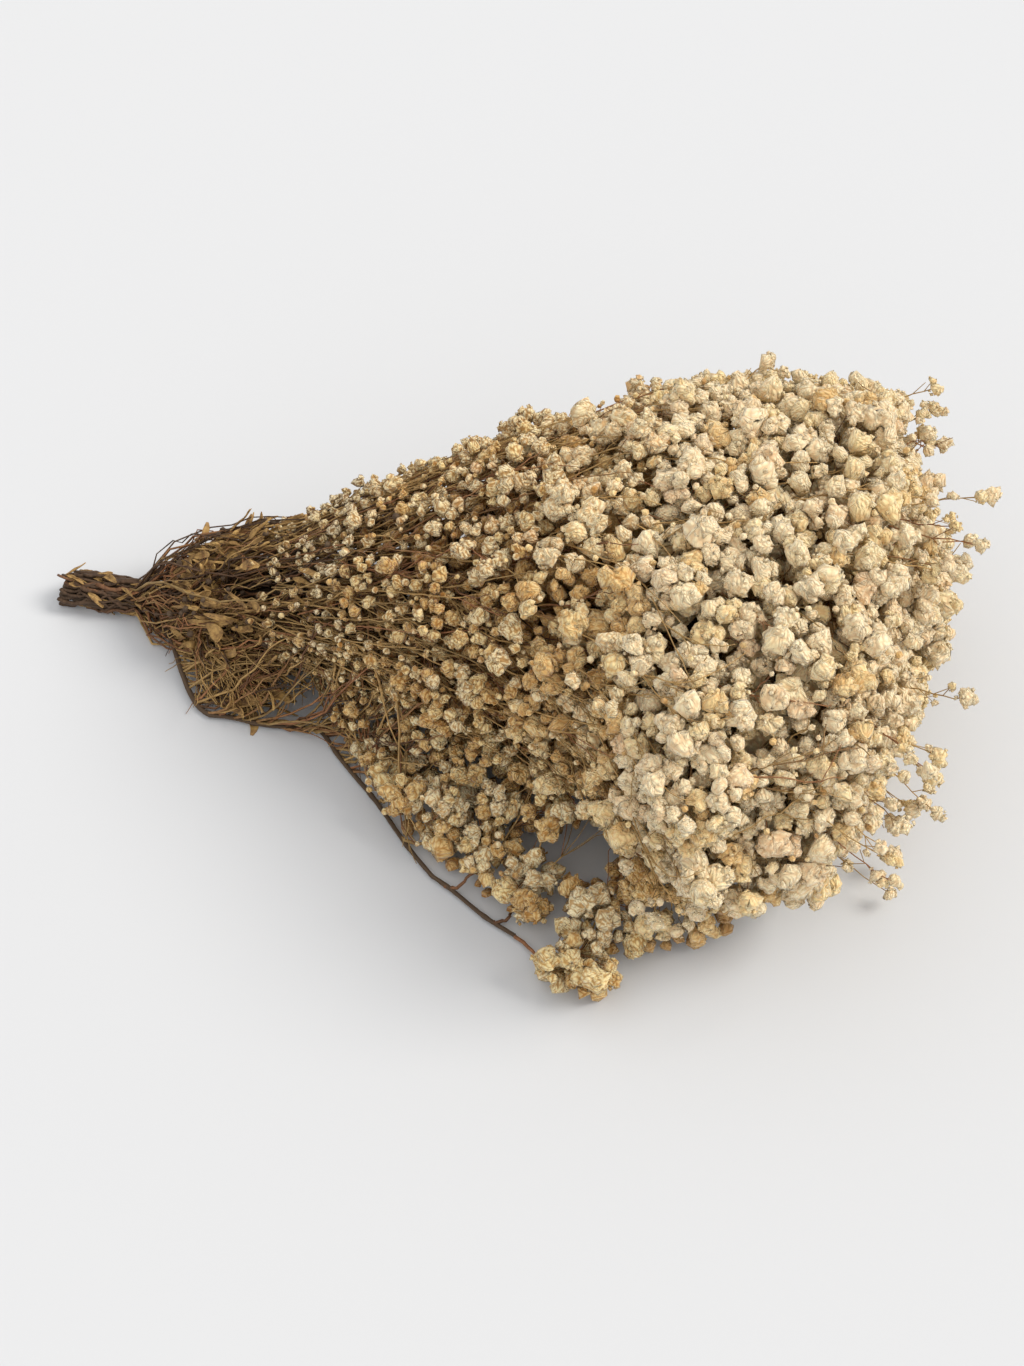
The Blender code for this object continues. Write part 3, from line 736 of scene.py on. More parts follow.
@lru_cache(maxsize=1)
def flower_plan():
    """Every flower of the bundle by its spray: centre, facing, radius, tint and layer. Flowers are set one
    by one where they are clear of those that stand, first the outer layer, then the ones behind it. The
    outer ones gather in domed clusters, with a few set back between them."""
    rng = seeded("flowers")
    scale = bpy.context.scene.bundle_flowers.size
    seeds = cluster_seeds(rng)
    taken, taken_radii, plan, filled = np.empty((MOST_FLOWERS, 3)), np.empty(MOST_FLOWERS), {}, 0
    for layer, spacings, share in (
        ("outer", OUTER_SPACING, 1.0),
        ("second", INNER_SPACING, 0.95),
        ("deep", INNER_SPACING, 1.5),
        ("core", INNER_SPACING, 2.2),
    ):
        for spray, point, normal, along in candidates(layer, rng):
            size = np.interp(along, SIZE_AT, FLOWER_RADII) * scale * share * rng.uniform(0.66, 1.26)
            spacing = np.interp(along, SIZE_AT, spacings)
            point = point.copy()
            if layer == "outer":
                reach = np.interp(along, (0.15, 0.20, 0.30, 0.37), (0.62, 0.50, 0.46, 0.56))
                reach *= np.interp(along, SIZE_AT, CLUSTER_SPACING)
                off = np.linalg.norm(seeds - point, axis=1).min() / reach
                if off > 1 and rng.random() > np.interp(along, (0.24, 0.34), (0.05, 0.20)):
                    continue
                point += normal * (0.0052 * (1 - off * off) if off < 1 else -0.0050)
                size *= 1.08 - 0.20 * min(off, 1.0)
            if rng.random() < 0.10:
                size *= 0.66
            point[1] = across_held(point[1])
            point[2] = min(max(point[2], size * 0.82), FLOWER_TOP)
            if not clear_of(point, size, spacing, taken[:filled], taken_radii[:filled]):
                continue
            taken[filled], taken_radii[filled] = point, size
            filled += 1
            facing = unit(normal + np.array([0.55, 0.0, 0.12]) + rng.normal(size=3) * 0.28)
            patch = hollows(point * 1.7 + 3.0)
            tint = np.clip(0.58 + 0.20 * patch + rng.normal() * 0.15, 0.24, 0.99)
            # Painted shade: low flowers on the near side, turned away from the lamp, get a browner tint.
            if normal[1] < -0.3 and along < 0.31:
                tint = max(tint - 0.27, 0.19)
            # Painted shade: flowers behind the outer layer get darker tints, darkest towards the neck, and
            # the core ones a near-black brown.
            if layer != "outer":
                painted_light = float(np.interp(along, (0.16, 0.25, 0.33), (0.1, 0.3, 1.0)))
                tint = painted_light * (0.47 + rng.uniform(-0.10, 0.10)) if layer != "core" else 0.03
            under = normal[2] < -0.55 and layer == "outer"
            plan.setdefault(spray, []).append((point, facing, size, tint, layer, under))
    return plan


# The pieces.


def hub_of(spray):
    """Where the stem of a spray hands over to its stalks."""
    for name, start, stop, count, first in RINGS:
        if spray.startswith(name):
            place = int(spray.rsplit("_", 1)[1]) - 1
            turn = ring_turn(first, place, count)
            return fan_point((start + stop) / 2 - 0.014, turn, 0.46), turn, (start + stop) / 2
    if spray == "tip_spray":
        return np.array([TIP_CENTRE - 0.022, 0.0, fan_section(TIP_CENTRE)[2]]), 0.0, TIP_CENTRE
    x, out, half = STRAY_CLUMPS[int(spray[-1]) - 1]
    return np.array([x - half[0] * 0.5, -out - half[1] * 0.35, half[2] * 0.5]), 0.0, x


def spray_patches(spray):
    """A spray: its flowers, a stalk under each, the nodes that stalks share, and branchlets back to the
    hub. Buds stand between the flowers on thin stalks of their own."""
    rng = seeded(spray)
    rows = flower_plan()[spray]
    points, facing, radii, tints, layers, under = (np.array(column) for column in zip(*rows))
    ring = spray.split("_")[0]
    hub, turn, along = hub_of(spray)
    patches = []
    front = (layers == "outer") & ~under
    big, behind = radii > BIG_FLOWER, ~front & (layers == "second")
    for chosen, lobes, crumbs in (
        (front & big, 3, 6),
        (front & ~big, 1, 2),
        (behind & big, 0, 5),
        (~front & ~(behind & big), 0, 0),
    ):
        if chosen.any():
            those = (rows_of[chosen] for rows_of in (points, facing, radii, tints))
            patches += flowers(*those, lobes, crumbs, rng)
    # Nodes: each takes the flowers nearest to it.
    stalked = layers == "outer"
    bases = points - facing * radii[:, None] * 0.6
    count = max(int(stalked.sum() / 4.5), 1)
    seeds = points[stalked][rng.permutation(int(stalked.sum()))[:count]]
    owner = np.linalg.norm(points[:, None] - seeds[None], axis=2).argmin(1)
    nodes = np.stack([points[owner == n].mean(0) if (owner == n).any() else seeds[n] for n in range(count)])
    nodes = nodes + (hub - nodes) * rng.uniform(0.22, 0.40, (count, 1)) + [-0.005, 0.0, 0.0]
    nodes[:, 2] = np.maximum(nodes[:, 2], 0.002)
    reach_out = np.linalg.norm(bases - nodes[owner], axis=1, keepdims=True)
    leave = (bases - nodes[owner]) * 0.3 + [0.002, 0, 0]
    paths = bends(nodes[owner], leave, facing * reach_out * 0.35, bases, 4)
    paths = kinked(paths, 0.0002, rng)[stalked]
    patches.append(tubes(paths, 0.00026, 0.00021, 3, rng.uniform(0.0, 1.0, len(paths))))
    away = nodes - hub
    paths = bends(np.broadcast_to(hub, nodes.shape), away * 0.25 + [0.006, 0, 0], away * 0.3, nodes, 7)
    paths = kinked(paths, 0.0005, rng)
    patches.append(tubes(paths, 0.00060, 0.00036, 4, rng.uniform(0.0, 1.0, len(paths))))
    # Buds on stalks from the nodes.
    outer = np.flatnonzero(layers == "outer")
    bud_count = int(len(outer) * np.interp(along, (0.11, 0.2, 0.3, 0.4), (0.9, 0.5, 0.22, 0.18)))
    if bud_count:
        near = rng.choice(outer, bud_count)
        drift = rng.normal(size=(bud_count, 3)) * (0.0028 if spray.startswith("stray") else 0.0055)
        spots = points[near] + drift + facing[near] * rng.uniform(0.0, 0.004, (bud_count, 1))
        spots[:, 2] = np.maximum(spots[:, 2], 0.002)
        if ring in OVER:
            spots = held(spots, OVER[ring])
        starts = nodes[owner[near]]
        sizes = rng.uniform(0.0011, 0.0019, bud_count)
        heading = unit(spots - starts)
        patches.append(buds(spots, heading, sizes, rng.uniform(0.05, 0.8, bud_count), rng))
        paths = bends(starts, (spots - starts) * 0.4, heading * 0.003, spots, 5)
        paths = kinked(paths, 0.0003, rng)
        patches.append(tubes(paths, 0.00024, 0.00018, 3, rng.uniform(0, 1, bud_count)))
    if ring in OVER:
        patches += surface_twigs(ring, along, turn, rng) + runners(ring, along, turn, rng)
    if ring in {"middle", "full", "crown"}:
        patches += sprigs(ring == "crown", along, turn, rng)
    return patches


def sprigs(crown, along, turn, rng):
    """Sprigs that stand out of the outline of the pale sprays: a forked twig with a small flower on each
    end. They lean forward and level, so that they end above the surface and below the bundle's top."""
    count = 9 if crown else 2
    start_turn = turn + rng.uniform(-0.4, 0.4, count)
    start_along = rng.uniform(along - 0.020, along + 0.004, count) + 0.010 * crown
    low = 0.45 if crown else 0.86
    starts = fan_point(start_along, start_turn, rng.uniform(low, 0.94, count))
    normals = fan_normal(start_along, start_turn, np.ones(count))
    normals[:, 2] *= 0.25
    ahead = unit(normals + [0.85, 0.0, 0.0] + rng.normal(size=(count, 3)) * 0.2)
    ends = starts + ahead * rng.uniform(0.028, 0.046, (count, 1)) * (1.25 if crown else 1.0)
    ends[:, 0] = np.minimum(ends[:, 0], SPRIG_END)
    ends[:, 1] = across_held(ends[:, 1], 0.040)
    ends[:, 2] = np.clip(ends[:, 2], 0.006, np.where(ends[:, 1] > -0.02, 0.132, 0.150))
    way = ends - starts
    arrive = way * 0.3 + rng.normal(size=way.shape) * 0.002
    paths = kinked(bends(starts, way * 0.35, arrive, ends, 8), 0.0005, rng)
    tints = rng.uniform(0.0, 0.8, count)
    owners = np.repeat(np.arange(count), 3)
    begin = paths[owners, rng.integers(3, 7, len(owners))]
    heading = unit(unit(way)[owners] + rng.normal(size=(len(owners), 3)) * 0.45)
    tips = begin + heading * rng.uniform(0.006, 0.012, (len(owners), 1))
    tips[:, 1] = across_held(tips[:, 1], 0.038)
    tips[:, 2] = np.clip(tips[:, 2], 0.005, np.where(tips[:, 1] > -0.02, 0.136, 0.154))
    side = bends(begin, (tips - begin) * 0.4, heading * 0.002, tips, 5)
    middles, facing = np.concatenate([ends, tips]), np.concatenate([unit(way), heading])
    radii = np.concatenate([rng.uniform(0.0040, 0.0056, count), rng.uniform(0.0020, 0.0048, len(owners))])
    keep = np.concatenate([[True] * count, rng.random(len(owners)) < 0.75])
    patches = [tubes(paths, 0.00044, 0.00028, 4, tints)]
    patches.append(tubes(side, 0.00026, 0.00020, 3, tints[owners]))
    flower_tints = rng.uniform(0.30, 0.85, len(middles))
    return patches + flowers(middles[keep], facing[keep], radii[keep], flower_tints[keep], 2, 5, rng)


def tucked(along, turn):
    """How far twigs draw in at the far shoulder of the pale end, as a share of the fan's reach."""
    return 0.12 * ease((along - 0.29) / 0.06) * np.cos(turn - 0.7).clip(0, 1)


def surface_twigs(ring, along, turn, rng):
    """Bare wiry twigs that run forward through the outer flowers of a spray and cross each other, each with
    forks that end in buds."""
    count, half = SURFACE_TWIGS[ring], HALF_TURNS[ring]
    start_along = along - rng.uniform(0.030, 0.050, count)
    end_along = along + rng.uniform(0.000, 0.034, count)
    start_turn = turn + rng.uniform(-half, half, count)
    end_turn = start_turn + rng.normal(size=count) * 0.30
    starts = fan_point(start_along, start_turn, rng.uniform(0.66, 0.92, count))
    edge = OVER[ring]
    end_reach = rng.uniform(edge - 0.08, edge, count) - tucked(end_along, end_turn)
    ends = fan_point(np.minimum(end_along, TWIG_END), end_turn, end_reach)
    way = ends - starts
    leave = way * 0.35 + rng.normal(size=way.shape) * 0.006
    paths = bends(starts, leave, way * 0.3 + rng.normal(size=way.shape) * 0.006, ends, 9)
    paths = held(kinked(paths, 0.0006, rng), edge)
    tints = rng.uniform(0.0, 0.85, count)
    patches = [tubes(paths, 0.00048, 0.00025, 4, tints)]
    forks = np.repeat(np.arange(count), 3)
    spread, budding = (0.25, 0.35) if edge < 1.02 else (0.5, 0.6)
    at = rng.integers(3, 8, len(forks))
    return patches + forked(paths, forks, at, tints, (0.007, 0.016), spread, edge, rng, budding)


def runners(ring, along, turn, rng):
    """Long smooth twigs that run forward over the flowers of a spray: the place along the fan grows evenly,
    the turn drifts a little, and the reach rises from inside the flowers to just past them."""
    count, half = RUNNERS[ring], HALF_TURNS[ring]
    t = np.linspace(0.0, 1.0, 12)
    x = along - rng.uniform(0.030, 0.065, (count, 1)) + rng.uniform(0.050, 0.095, (count, 1)) * t
    turns = turn + rng.uniform(-half, half, (count, 1)) + rng.normal(size=(count, 1)) * 0.22 * t
    low, high = rng.uniform(0.78, 0.90, (count, 1)), OVER[ring] + rng.uniform(-0.04, 0.02, (count, 1))
    reach = low + (high - low) * np.sin(1.8 * t) - tucked(x, turns)
    paths = fan_point(np.minimum(x, RUNNER_END), turns, reach)
    paths = held(kinked(paths, 0.0003, rng), OVER[ring] + 0.02)
    tints = rng.uniform(0.0, 0.7, count)
    patches = [tubes(paths, 0.00050, 0.00026, 4, tints)]
    forks = np.repeat(np.arange(count), 2)
    at = rng.integers(4, 11, len(forks))
    return patches + forked(paths, forks, at, tints, (0.010, 0.022), 0.25, OVER[ring] + 0.01, rng, 0.3)


def forked(paths, owners, at, tints, span, spread, limit, rng, budding=1.0):
    """Side twigs of paths, a share budding of them with a bud at its end: they leave owners' paths at a
    station, keep to its heading within a spread, and stay within a share limit of the fan."""
    begin = paths[owners, at]
    heading = unit(paths[owners, at] - paths[owners, at - 2])
    lengths = rng.uniform(*span, (len(owners), 1))
    tips = held(begin + unit(heading + rng.normal(size=heading.shape) * spread) * lengths, limit)
    side = bends(begin, heading * lengths * 0.4, unit(tips - begin) * lengths * 0.3, tips, 6)
    side = kinked(side, 0.0003, rng)
    twigs = tubes(side, 0.00032, 0.00019, 3, np.clip(tints[owners] + 0.05, 0, 1))
    heads = unit(side[:, -1] - side[:, -3])
    sizes = rng.uniform(0.0010, 0.0019, len(owners))
    spots = tips + heads * sizes[:, None] * 0.6
    some = np.flatnonzero(rng.random(len(owners)) < budding)
    if not len(some):
        return [twigs]
    return [twigs, buds(spots[some], heads[some], sizes[some], rng.uniform(0.15, 0.8, len(some)), rng)]


def stem_twigs(number, rng, count=30):
    """Side twigs that leave a stem of the ring in the neck, bulge out and run on along the fan's surface,
    with forks."""
    begin_at = rng.uniform(0.026, 0.112, count)
    begin_at[::2] = rng.uniform(0.024, 0.046, len(begin_at[::2]))
    starts = ring_stem_point(number, begin_at)
    turn = FIRST_TURN + number * math.tau / RING_STEMS
    end_turn = turn + rng.normal(size=count) * 0.65
    end_at = begin_at + rng.uniform(0.020, 0.110, count)
    ends = fan_point(end_at, end_turn, rng.uniform(0.62, 1.02, count))
    out = radial(end_turn)
    lengths = np.linalg.norm(ends - starts, axis=1, keepdims=True)
    leave = unit([1.0, 0, 0] + out * rng.uniform(0.0, 0.8, (count, 1))) * lengths
    leave *= rng.uniform(0.25, 0.45, (count, 1))
    arrive = unit(unit(ends - starts) + [0.5, 0, 0]) * lengths * 0.30 + rng.normal(size=ends.shape) * 0.004
    paths = kinked(bends(starts, leave, arrive, ends, 13), 0.0009, rng)
    sway = rng.normal(size=(count, 1, 3)) * 0.0035
    sway = sway * np.sin(np.linspace(0, 1, 13)[:, None] * rng.uniform(4, 9, (count, 1, 1)))
    paths = paths + sway * np.minimum(np.arange(13) / 4, 1)[:, None]
    paths[:, 1:] = puffed(held(paths[:, 1:], 1.0), rng.uniform(0.0, 1.0, (count, 1)) * np.ones((1, 12)))
    tints = 1 - 0.9 * rng.random(count) ** 2
    sizes = rng.uniform(0.00038, 0.00085, count)
    patches = [tubes(paths, sizes, sizes * 0.45, 4, tints)]
    forks = np.repeat(np.arange(count), 2)
    at = rng.integers(3, 11, len(forks))
    return patches + forked(paths, forks, at, tints, (0.010, 0.026), 0.35, 1.02, rng, 0.35)


def web_twigs(count, rng):
    """Twigs between the stray stem and the near side of the fan: some leave the stray stem towards the fan,
    the others the fan towards the stem."""
    at = rng.uniform(0.042, 0.165, count)
    at[::2] = rng.uniform(0.042, 0.085, len(at[::2]))
    out = rng.random(count) < 0.5
    stray_start = stray_point(at)
    fan_start = fan_point(at, math.pi + rng.uniform(-0.7, 0.9, count), rng.uniform(0.6, 0.95, count))
    starts = np.where(out[:, None], stray_start, fan_start)
    end_at = at + rng.uniform(0.014, 0.050, count)
    share = np.where(out, rng.uniform(0.35, 1.0, count), rng.uniform(0.0, 0.6, count))[:, None]
    edge = fan_point(end_at, math.pi + rng.uniform(-0.7, 0.7, count), 0.95)
    line = stray_point(end_at) + np.array([0, 0.002, 0.0])
    ends = line + (edge - line) * share
    ends[:, 2] = np.maximum(ends[:, 2] * 0.9, 0.0015) + rng.uniform(0, 0.010, count)
    way = ends - starts
    lengths = np.linalg.norm(way, axis=1, keepdims=True)
    leave = unit([1.0, 0, 0] + unit(way) * 0.7) * lengths * 0.4 + rng.normal(size=way.shape) * 0.006
    arrive = unit([0.8, 0, 0] + unit(way)) * lengths * 0.3
    paths = kinked(bends(starts, leave, arrive, ends, 9), 0.0008, rng)
    lift = rng.uniform(0.0008, 0.0075, (count, 1)) * np.linspace(0.2, 1.0, 9)
    paths[..., 2] = np.maximum(paths[..., 2], lift)
    tints = rng.uniform(0, 1, count)
    patches = [tubes(paths, 0.00072, 0.00034, 4, tints)]
    forks = np.repeat(np.arange(count), 2)
    at = rng.integers(3, 8, len(forks))
    return patches + forked(paths, forks, at, tints, (0.008, 0.020), 0.2, 9.0, rng, 0.0)


def web_place(x, share, lift):
    """Point between the stray stem and the near side of the fan, lift of the way up the fan's flank."""
    line = stray_point(x)
    edge = fan_point(x, math.pi * np.ones_like(x), 0.9)
    point = line + (edge - line) * share[..., None]
    point[..., 2] = 0.0015 + (edge[..., 2] * share + 0.004) * lift
    return point


def stem_radii(x, first, last, rng):
    """Radii along a stem: an even taper with a swelling at each of its joints, about every 22 mm."""
    share = (x - x[0]) / (x[-1] - x[0])
    joints = np.arange(x[0] + rng.uniform(0.004, 0.016), x[-1], 0.022)
    swell = np.exp(-(((x[:, None] - joints[None]) / 0.0016) ** 2)).sum(1)
    return (first + (last - first) * share) * (1 + 0.28 * np.minimum(swell, 1))


def nearest_stem(turn):
    """Number of the ring stem whose turn is nearest."""
    def apart(number):
        difference = turn - FIRST_TURN - number * math.tau / RING_STEMS
        return abs((difference + math.pi) % math.tau - math.pi)

    return min(range(RING_STEMS), key=apart)


def sprays_of(number):
    """The ring sprays that a stem of the ring bears, with where each is met."""
    found = []
    for name, start, stop, count, first in RINGS:
        for place in range(count):
            if nearest_stem(ring_turn(first, place, count) % math.tau) == number:
                found.append((f"{name}_spray_{place + 1}", (start + stop) / 2))
    return sorted(found, key=lambda row: row[1])


def branches_to(hubs, starts, ahead, rng):
    """Branches from a stem to the hubs of its sprays."""
    hubs, starts, ahead = (np.array(rows) for rows in (hubs, starts, ahead))
    way = hubs - starts
    lengths = np.linalg.norm(way, axis=1, keepdims=True)
    paths = bends(starts, unit(ahead) * lengths * 0.4, unit(way) * lengths * 0.3, hubs, 9)
    paths = kinked(paths, 0.0006, rng)
    return tubes(paths, 0.00095, 0.00062, 6, rng.uniform(0.3, 1.0, len(paths)))


def stem_patches(node, number):
    """A stem of the ring: bark from its cut end to its last spray, its branches and its side twigs."""
    rng = seeded(node)
    sprays = sprays_of(number)
    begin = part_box(node)[0].x - SHIFT[0] - rng.uniform(0.001, 0.011)
    end = sprays[-1][1] - 0.03
    x = np.linspace(begin, end, 90)
    path = ring_stem_point(number, x)
    path[:, 1:] += 0.0004 * np.sin(x[:, None] * np.array([210.0, 260.0]) + rng.uniform(0, 6, 2))
    radii = stem_radii(x, STEM_RADIUS * rng.uniform(0.92, 1.12), STEM_TIP_RADIUS, rng)
    starts = [ring_stem_point(number, at - 0.045) for _, at in sprays[:-1]] + [path[-1]]
    ahead = [ring_stem_point(number, at - 0.040) - ring_stem_point(number, at - 0.045) for _, at in sprays]
    patches = [bark(path, radii, 9, rng)]
    patches.append(branches_to([hub_of(name)[0] for name, _ in sprays], starts, ahead, rng))
    return patches + stem_twigs(number, rng)


def middle_stem_patches():
    """The thick middle stem, up to the spray at the tip."""
    rng = seeded("middle_stem")
    x = np.linspace(-0.006, 0.375, 110)
    path = np.stack([x, 0.0008 * np.sin(x * 130), fan_section(x)[2] + 0.0008 * np.sin(x * 90 + 1)], -1)
    patches = [bark(path, stem_radii(x, CENTRE_STEM_RADIUS, STEM_TIP_RADIUS, rng), 11, rng)]
    hub = hub_of("tip_spray")[0]
    patches.append(branches_to([hub], [path[-1]], [path[-1] - path[-3]], rng))
    for number in range(RING_STEMS):
        patches += stem_twigs(number + 0.5, rng, 3)
    return patches + [neck_strands(46, rng)]


def neck_strands(count, rng):
    """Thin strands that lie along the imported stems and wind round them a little: they run at a radius just
    past the ring's, and the lowest stay above the surface."""
    t = np.linspace(0, 1, 12)
    begin, length = rng.uniform(-0.010, 0.018, (count, 1)), rng.uniform(0.020, 0.040, (count, 1))
    x = begin + length * t
    turn = rng.uniform(0, math.tau, (count, 1)) + rng.uniform(-1.2, 1.2, (count, 1)) * t
    turn = turn + 0.15 * np.sin(9 * t)
    radius = 0.0068 + rng.uniform(-0.0006, 0.0026, (count, 1))
    radius = radius + 0.0008 * np.sin(t * rng.uniform(3, 9, (count, 1)))
    height = fan_section(x)[2]
    paths = np.stack([x, radius * np.cos(turn), np.maximum(height + radius * np.sin(turn), 0.0010)], -1)
    sizes = rng.uniform(0.0006, 0.0013, count)
    paths = kinked(paths, 0.0004, rng)
    return tubes(paths, sizes, sizes * 0.8, 5, 1 - 0.15 * rng.random(count) ** 2)


def stray_stem_patches():
    """The stray stem: bark, and a branch to each of its three clumps."""
    rng = seeded("stray_stem")
    x = np.linspace(0.006, STRAY_END - 0.006, 100)
    path = stray_point(x)
    path[:, 1] += 0.0007 * np.sin(x * 150) * ease((x - 0.05) / 0.02)
    patches = [bark(path, stem_radii(x, STRAY_RADIUS, STEM_TIP_RADIUS, rng), 9, rng)]
    starts = stray_point(np.array(STRAY_FORKS))
    ahead = starts - stray_point(np.array(STRAY_FORKS) - 0.005)
    hubs = [hub_of(f"stray_spray_{number + 1}")[0] for number in range(len(STRAY_CLUMPS))]
    patches.append(branches_to(hubs, starts, ahead, rng))
    return patches + web_twigs(200, rng)


def leaf_patches(node):
    """A tuft of dried leaves about the place of one leaf of the CAD model."""
    rng = seeded(node)
    low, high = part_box(node)
    middle = (np.array(low) + np.array(high)) / 2 - SHIFT
    count = 30
    along = rng.uniform(0.036, 0.112, count)
    along[::2] = rng.uniform(0.036, 0.062, len(along[::2]))
    turn = math.atan2(middle[2] - float(fan_section(middle[0])[2]), middle[1]) + rng.normal(size=count) * 0.8
    roots = puffed(fan_point(along, turn, rng.uniform(0.9, 1.02, count)), rng.uniform(0.75, 1.08, count))
    out = radial(turn)
    web = (np.cos(turn) < 0.0) & (rng.random(count) < 0.55)
    at, share, lift = (rng.uniform(*span, count) for span in ((0.046, 0.105), (0.1, 1.0), (0.1, 1.0)))
    roots = np.where(web[:, None], web_place(at, share, lift), roots)
    roots[:, 2] = np.maximum(roots[:, 2], 0.002)
    outs = unit(out * 0.8 + [0.1, 0.0, 0.1] + rng.normal(size=(count, 3)) * 0.5)
    headings = [1.0, 0.0, 0.0] + out * rng.uniform(-0.3, 0.15, (count, 1))
    headings = unit(headings + rng.normal(size=(count, 3)) * 0.32)
    broad = np.where(along < 0.062, 1.35, 1.0)
    lengths = rng.uniform(0.009, 0.021, count) * broad
    widths = rng.uniform(0.0018, 0.0060, count) * broad
    curls = rng.uniform(-1.0, 1.8, count)
    patches = [leaf_blades(roots, headings, outs, lengths, widths, curls, rng)]
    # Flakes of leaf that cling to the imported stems.
    count = 4
    along, turn = rng.uniform(-0.006, 0.034, count), rng.uniform(0, math.tau, count)
    out = radial(turn)
    roots = np.stack([along, 0 * along, fan_section(along)[2]], -1) + out * 0.0084
    roots[:, 2] = np.maximum(roots[:, 2], 0.0006)
    headings = unit([1.0, 0.0, 0.0] + rng.normal(size=(count, 3)) * 0.22)
    lengths, widths = rng.uniform(0.007, 0.015, count), rng.uniform(0.002, 0.0042, count)
    curls = rng.uniform(-0.6, 0.2, count)
    patches.append(leaf_blades(roots, headings, out, lengths, widths, curls, rng))
    return patches


# Finishes.


class Value:
    """A socket of a finish, on which Python arithmetic adds Math nodes."""

    def __init__(self, finish, socket):
        self.finish, self.socket = finish, socket

    def math(self, operation, *values):
        return self.finish.node("ShaderNodeMath", {"operation": operation}, dict(enumerate(values)))

    def __add__(self, other):
        return self.math("ADD", self, other)

    def __radd__(self, other):
        return self.math("ADD", other, self)

    def __sub__(self, other):
        return self.math("SUBTRACT", self, other)

    def __rsub__(self, other):
        return self.math("SUBTRACT", other, self)

    def __mul__(self, other):
        return self.math("MULTIPLY", self, other)

    def __rmul__(self, other):
        return self.math("MULTIPLY", other, self)


class Finish:
    """A material with a Principled shader, whose nodes are added by node()."""

    def __init__(self, name, **constants):
        self.material = bpy.data.materials.new(name)
        self.material.use_nodes = True
        self.tree = self.material.node_tree
        self.shader = self.tree.nodes["Principled BSDF"]
        for socket, value in constants.items():
            self.shader.inputs[socket.replace("_", " ")].default_value = value

    def node(self, kind, settings=None, values=None, output=0):
        """Adds a node of a kind: its settings are set first, stops being a ramp's, then its sockets."""
        made = self.tree.nodes.new(kind)
        settings = dict(settings or {})
        stops = settings.pop("stops", None)
        for name, setting in settings.items():
            setattr(made, name, setting)
        if stops:
            elements = made.color_ramp.elements
            while len(elements) < len(stops):
                elements.new(0.5)
            for element, (position, colour) in zip(elements, stops):
                element.position = position
                element.color = (*colour, 1.0)
        for name, value in (values or {}).items():
            self.put(made.inputs[name], value)
        return Value(self, made.outputs[output])

    def put(self, socket, value):
        """Links a value to a socket, or writes a plain one."""
        if isinstance(value, Value):
            self.tree.links.new(value.socket, socket)
        else:
            socket.default_value = value

    def end(self, socket, value):
        """Feeds one of the shader's sockets."""
        self.put(self.shader.inputs[socket], value)

    def product(self, first, second):
        """The product of two colours."""
        settings = {"data_type": "RGBA", "blend_type": "MULTIPLY"}
        return self.node("ShaderNodeMix", settings, {0: 1.0, 6: first, 7: second}, 2)

    def map_places(self):
        """The two coordinates of the piece's own map: tint or length, and depth or turn."""
        map_ = self.node("ShaderNodeUVMap", {"uv_map": MAP})
        parts = self.tree.nodes.new("ShaderNodeSeparateXYZ")
        self.tree.links.new(map_.socket, parts.inputs[0])
        return Value(self, parts.outputs[0]), Value(self, parts.outputs[1])

    def grain(self, across, up, detail=3.0):
        """Noise read at a place made of two values."""
        place = self.node("ShaderNodeCombineXYZ", {}, {0: across, 1: up})
        values = {"Vector": place, "Scale": 1.0, "Detail": detail, "Roughness": 0.6}
        return self.node("ShaderNodeTexNoise", {}, values)

    def ramp(self, value, *stops):
        """A colour ramp."""
        return self.node("ShaderNodeValToRGB", {"stops": stops}, {0: value})

    def bump(self, height, strength, distance):
        """Raises the surface by a height."""
        values = {"Height": height, "Strength": strength, "Distance": distance}
        self.end("Normal", self.node("ShaderNodeBump", {}, values))


def between(first, second, share):
    """A colour part of the way from first to second."""
    return tuple(a + (b - a) * share for a, b in zip(first, second))


def flower_finish(name, crease_shade, petal):
    """Dried petals: cells as small as a petal, pale in the middle and darker in the creases between them,
    partly the petals' own tan and partly painted shade, with finer grain, and a tint that runs from brown
    through gold and cream to a blush across the map, whose browns and tans also serve as painted shade for
    flowers inside the bundle and low on its near side."""
    finish = Finish(name, Specular_IOR_Level=0.12, Diffuse_Roughness=0.8, Sheen_Weight=0.25)
    tint, _ = finish.map_places()
    crumbs = bpy.context.scene.bundle_flowers.crumbs
    place = finish.node("ShaderNodeUVMap", {"uv_map": MAP})
    values = {"Vector": place, "Scale": crumbs, "Randomness": 1.0}
    cell = finish.node("ShaderNodeTexVoronoi", {"voronoi_dimensions": "2D"}, values)
    values = {"Vector": place, "Scale": crumbs * 0.55, "Detail": 4.0}
    grain = finish.node("ShaderNodeTexNoise", {"noise_dimensions": "2D"}, values)
    shade = 0.72 - cell * 1.25 + grain * 0.6
    # The crease colour where the cells meet is partly the petals' own tan and partly painted shade.
    colour = finish.ramp(shade, (0.26, crease_shade), (0.46, between(crease_shade, petal, 0.60)), (0.68, petal))
    # The browns and tans at the tint's low end are the buds' own colour and painted shade for flowers inside
    # the bundle and low on its near side.
    hue = finish.ramp(
        tint,
        (0.00, (0.24, 0.16, 0.08)),
        (0.12, (0.56, 0.39, 0.22)),
        (0.22, (0.86, 0.68, 0.42)),
        (0.36, (1.0, 0.94, 0.76)),
        (0.55, (1.0, 1.0, 1.0)),
        (0.78, (1.0, 0.965, 0.93)),
        (0.95, (0.98, 0.87, 0.80)),
    )
    finish.end("Base Color", finish.product(colour, hue))
    finish.end("Roughness", 0.95 - 0.15 * grain)
    finish.bump(shade, 1.0, 0.0012)
    return finish.material


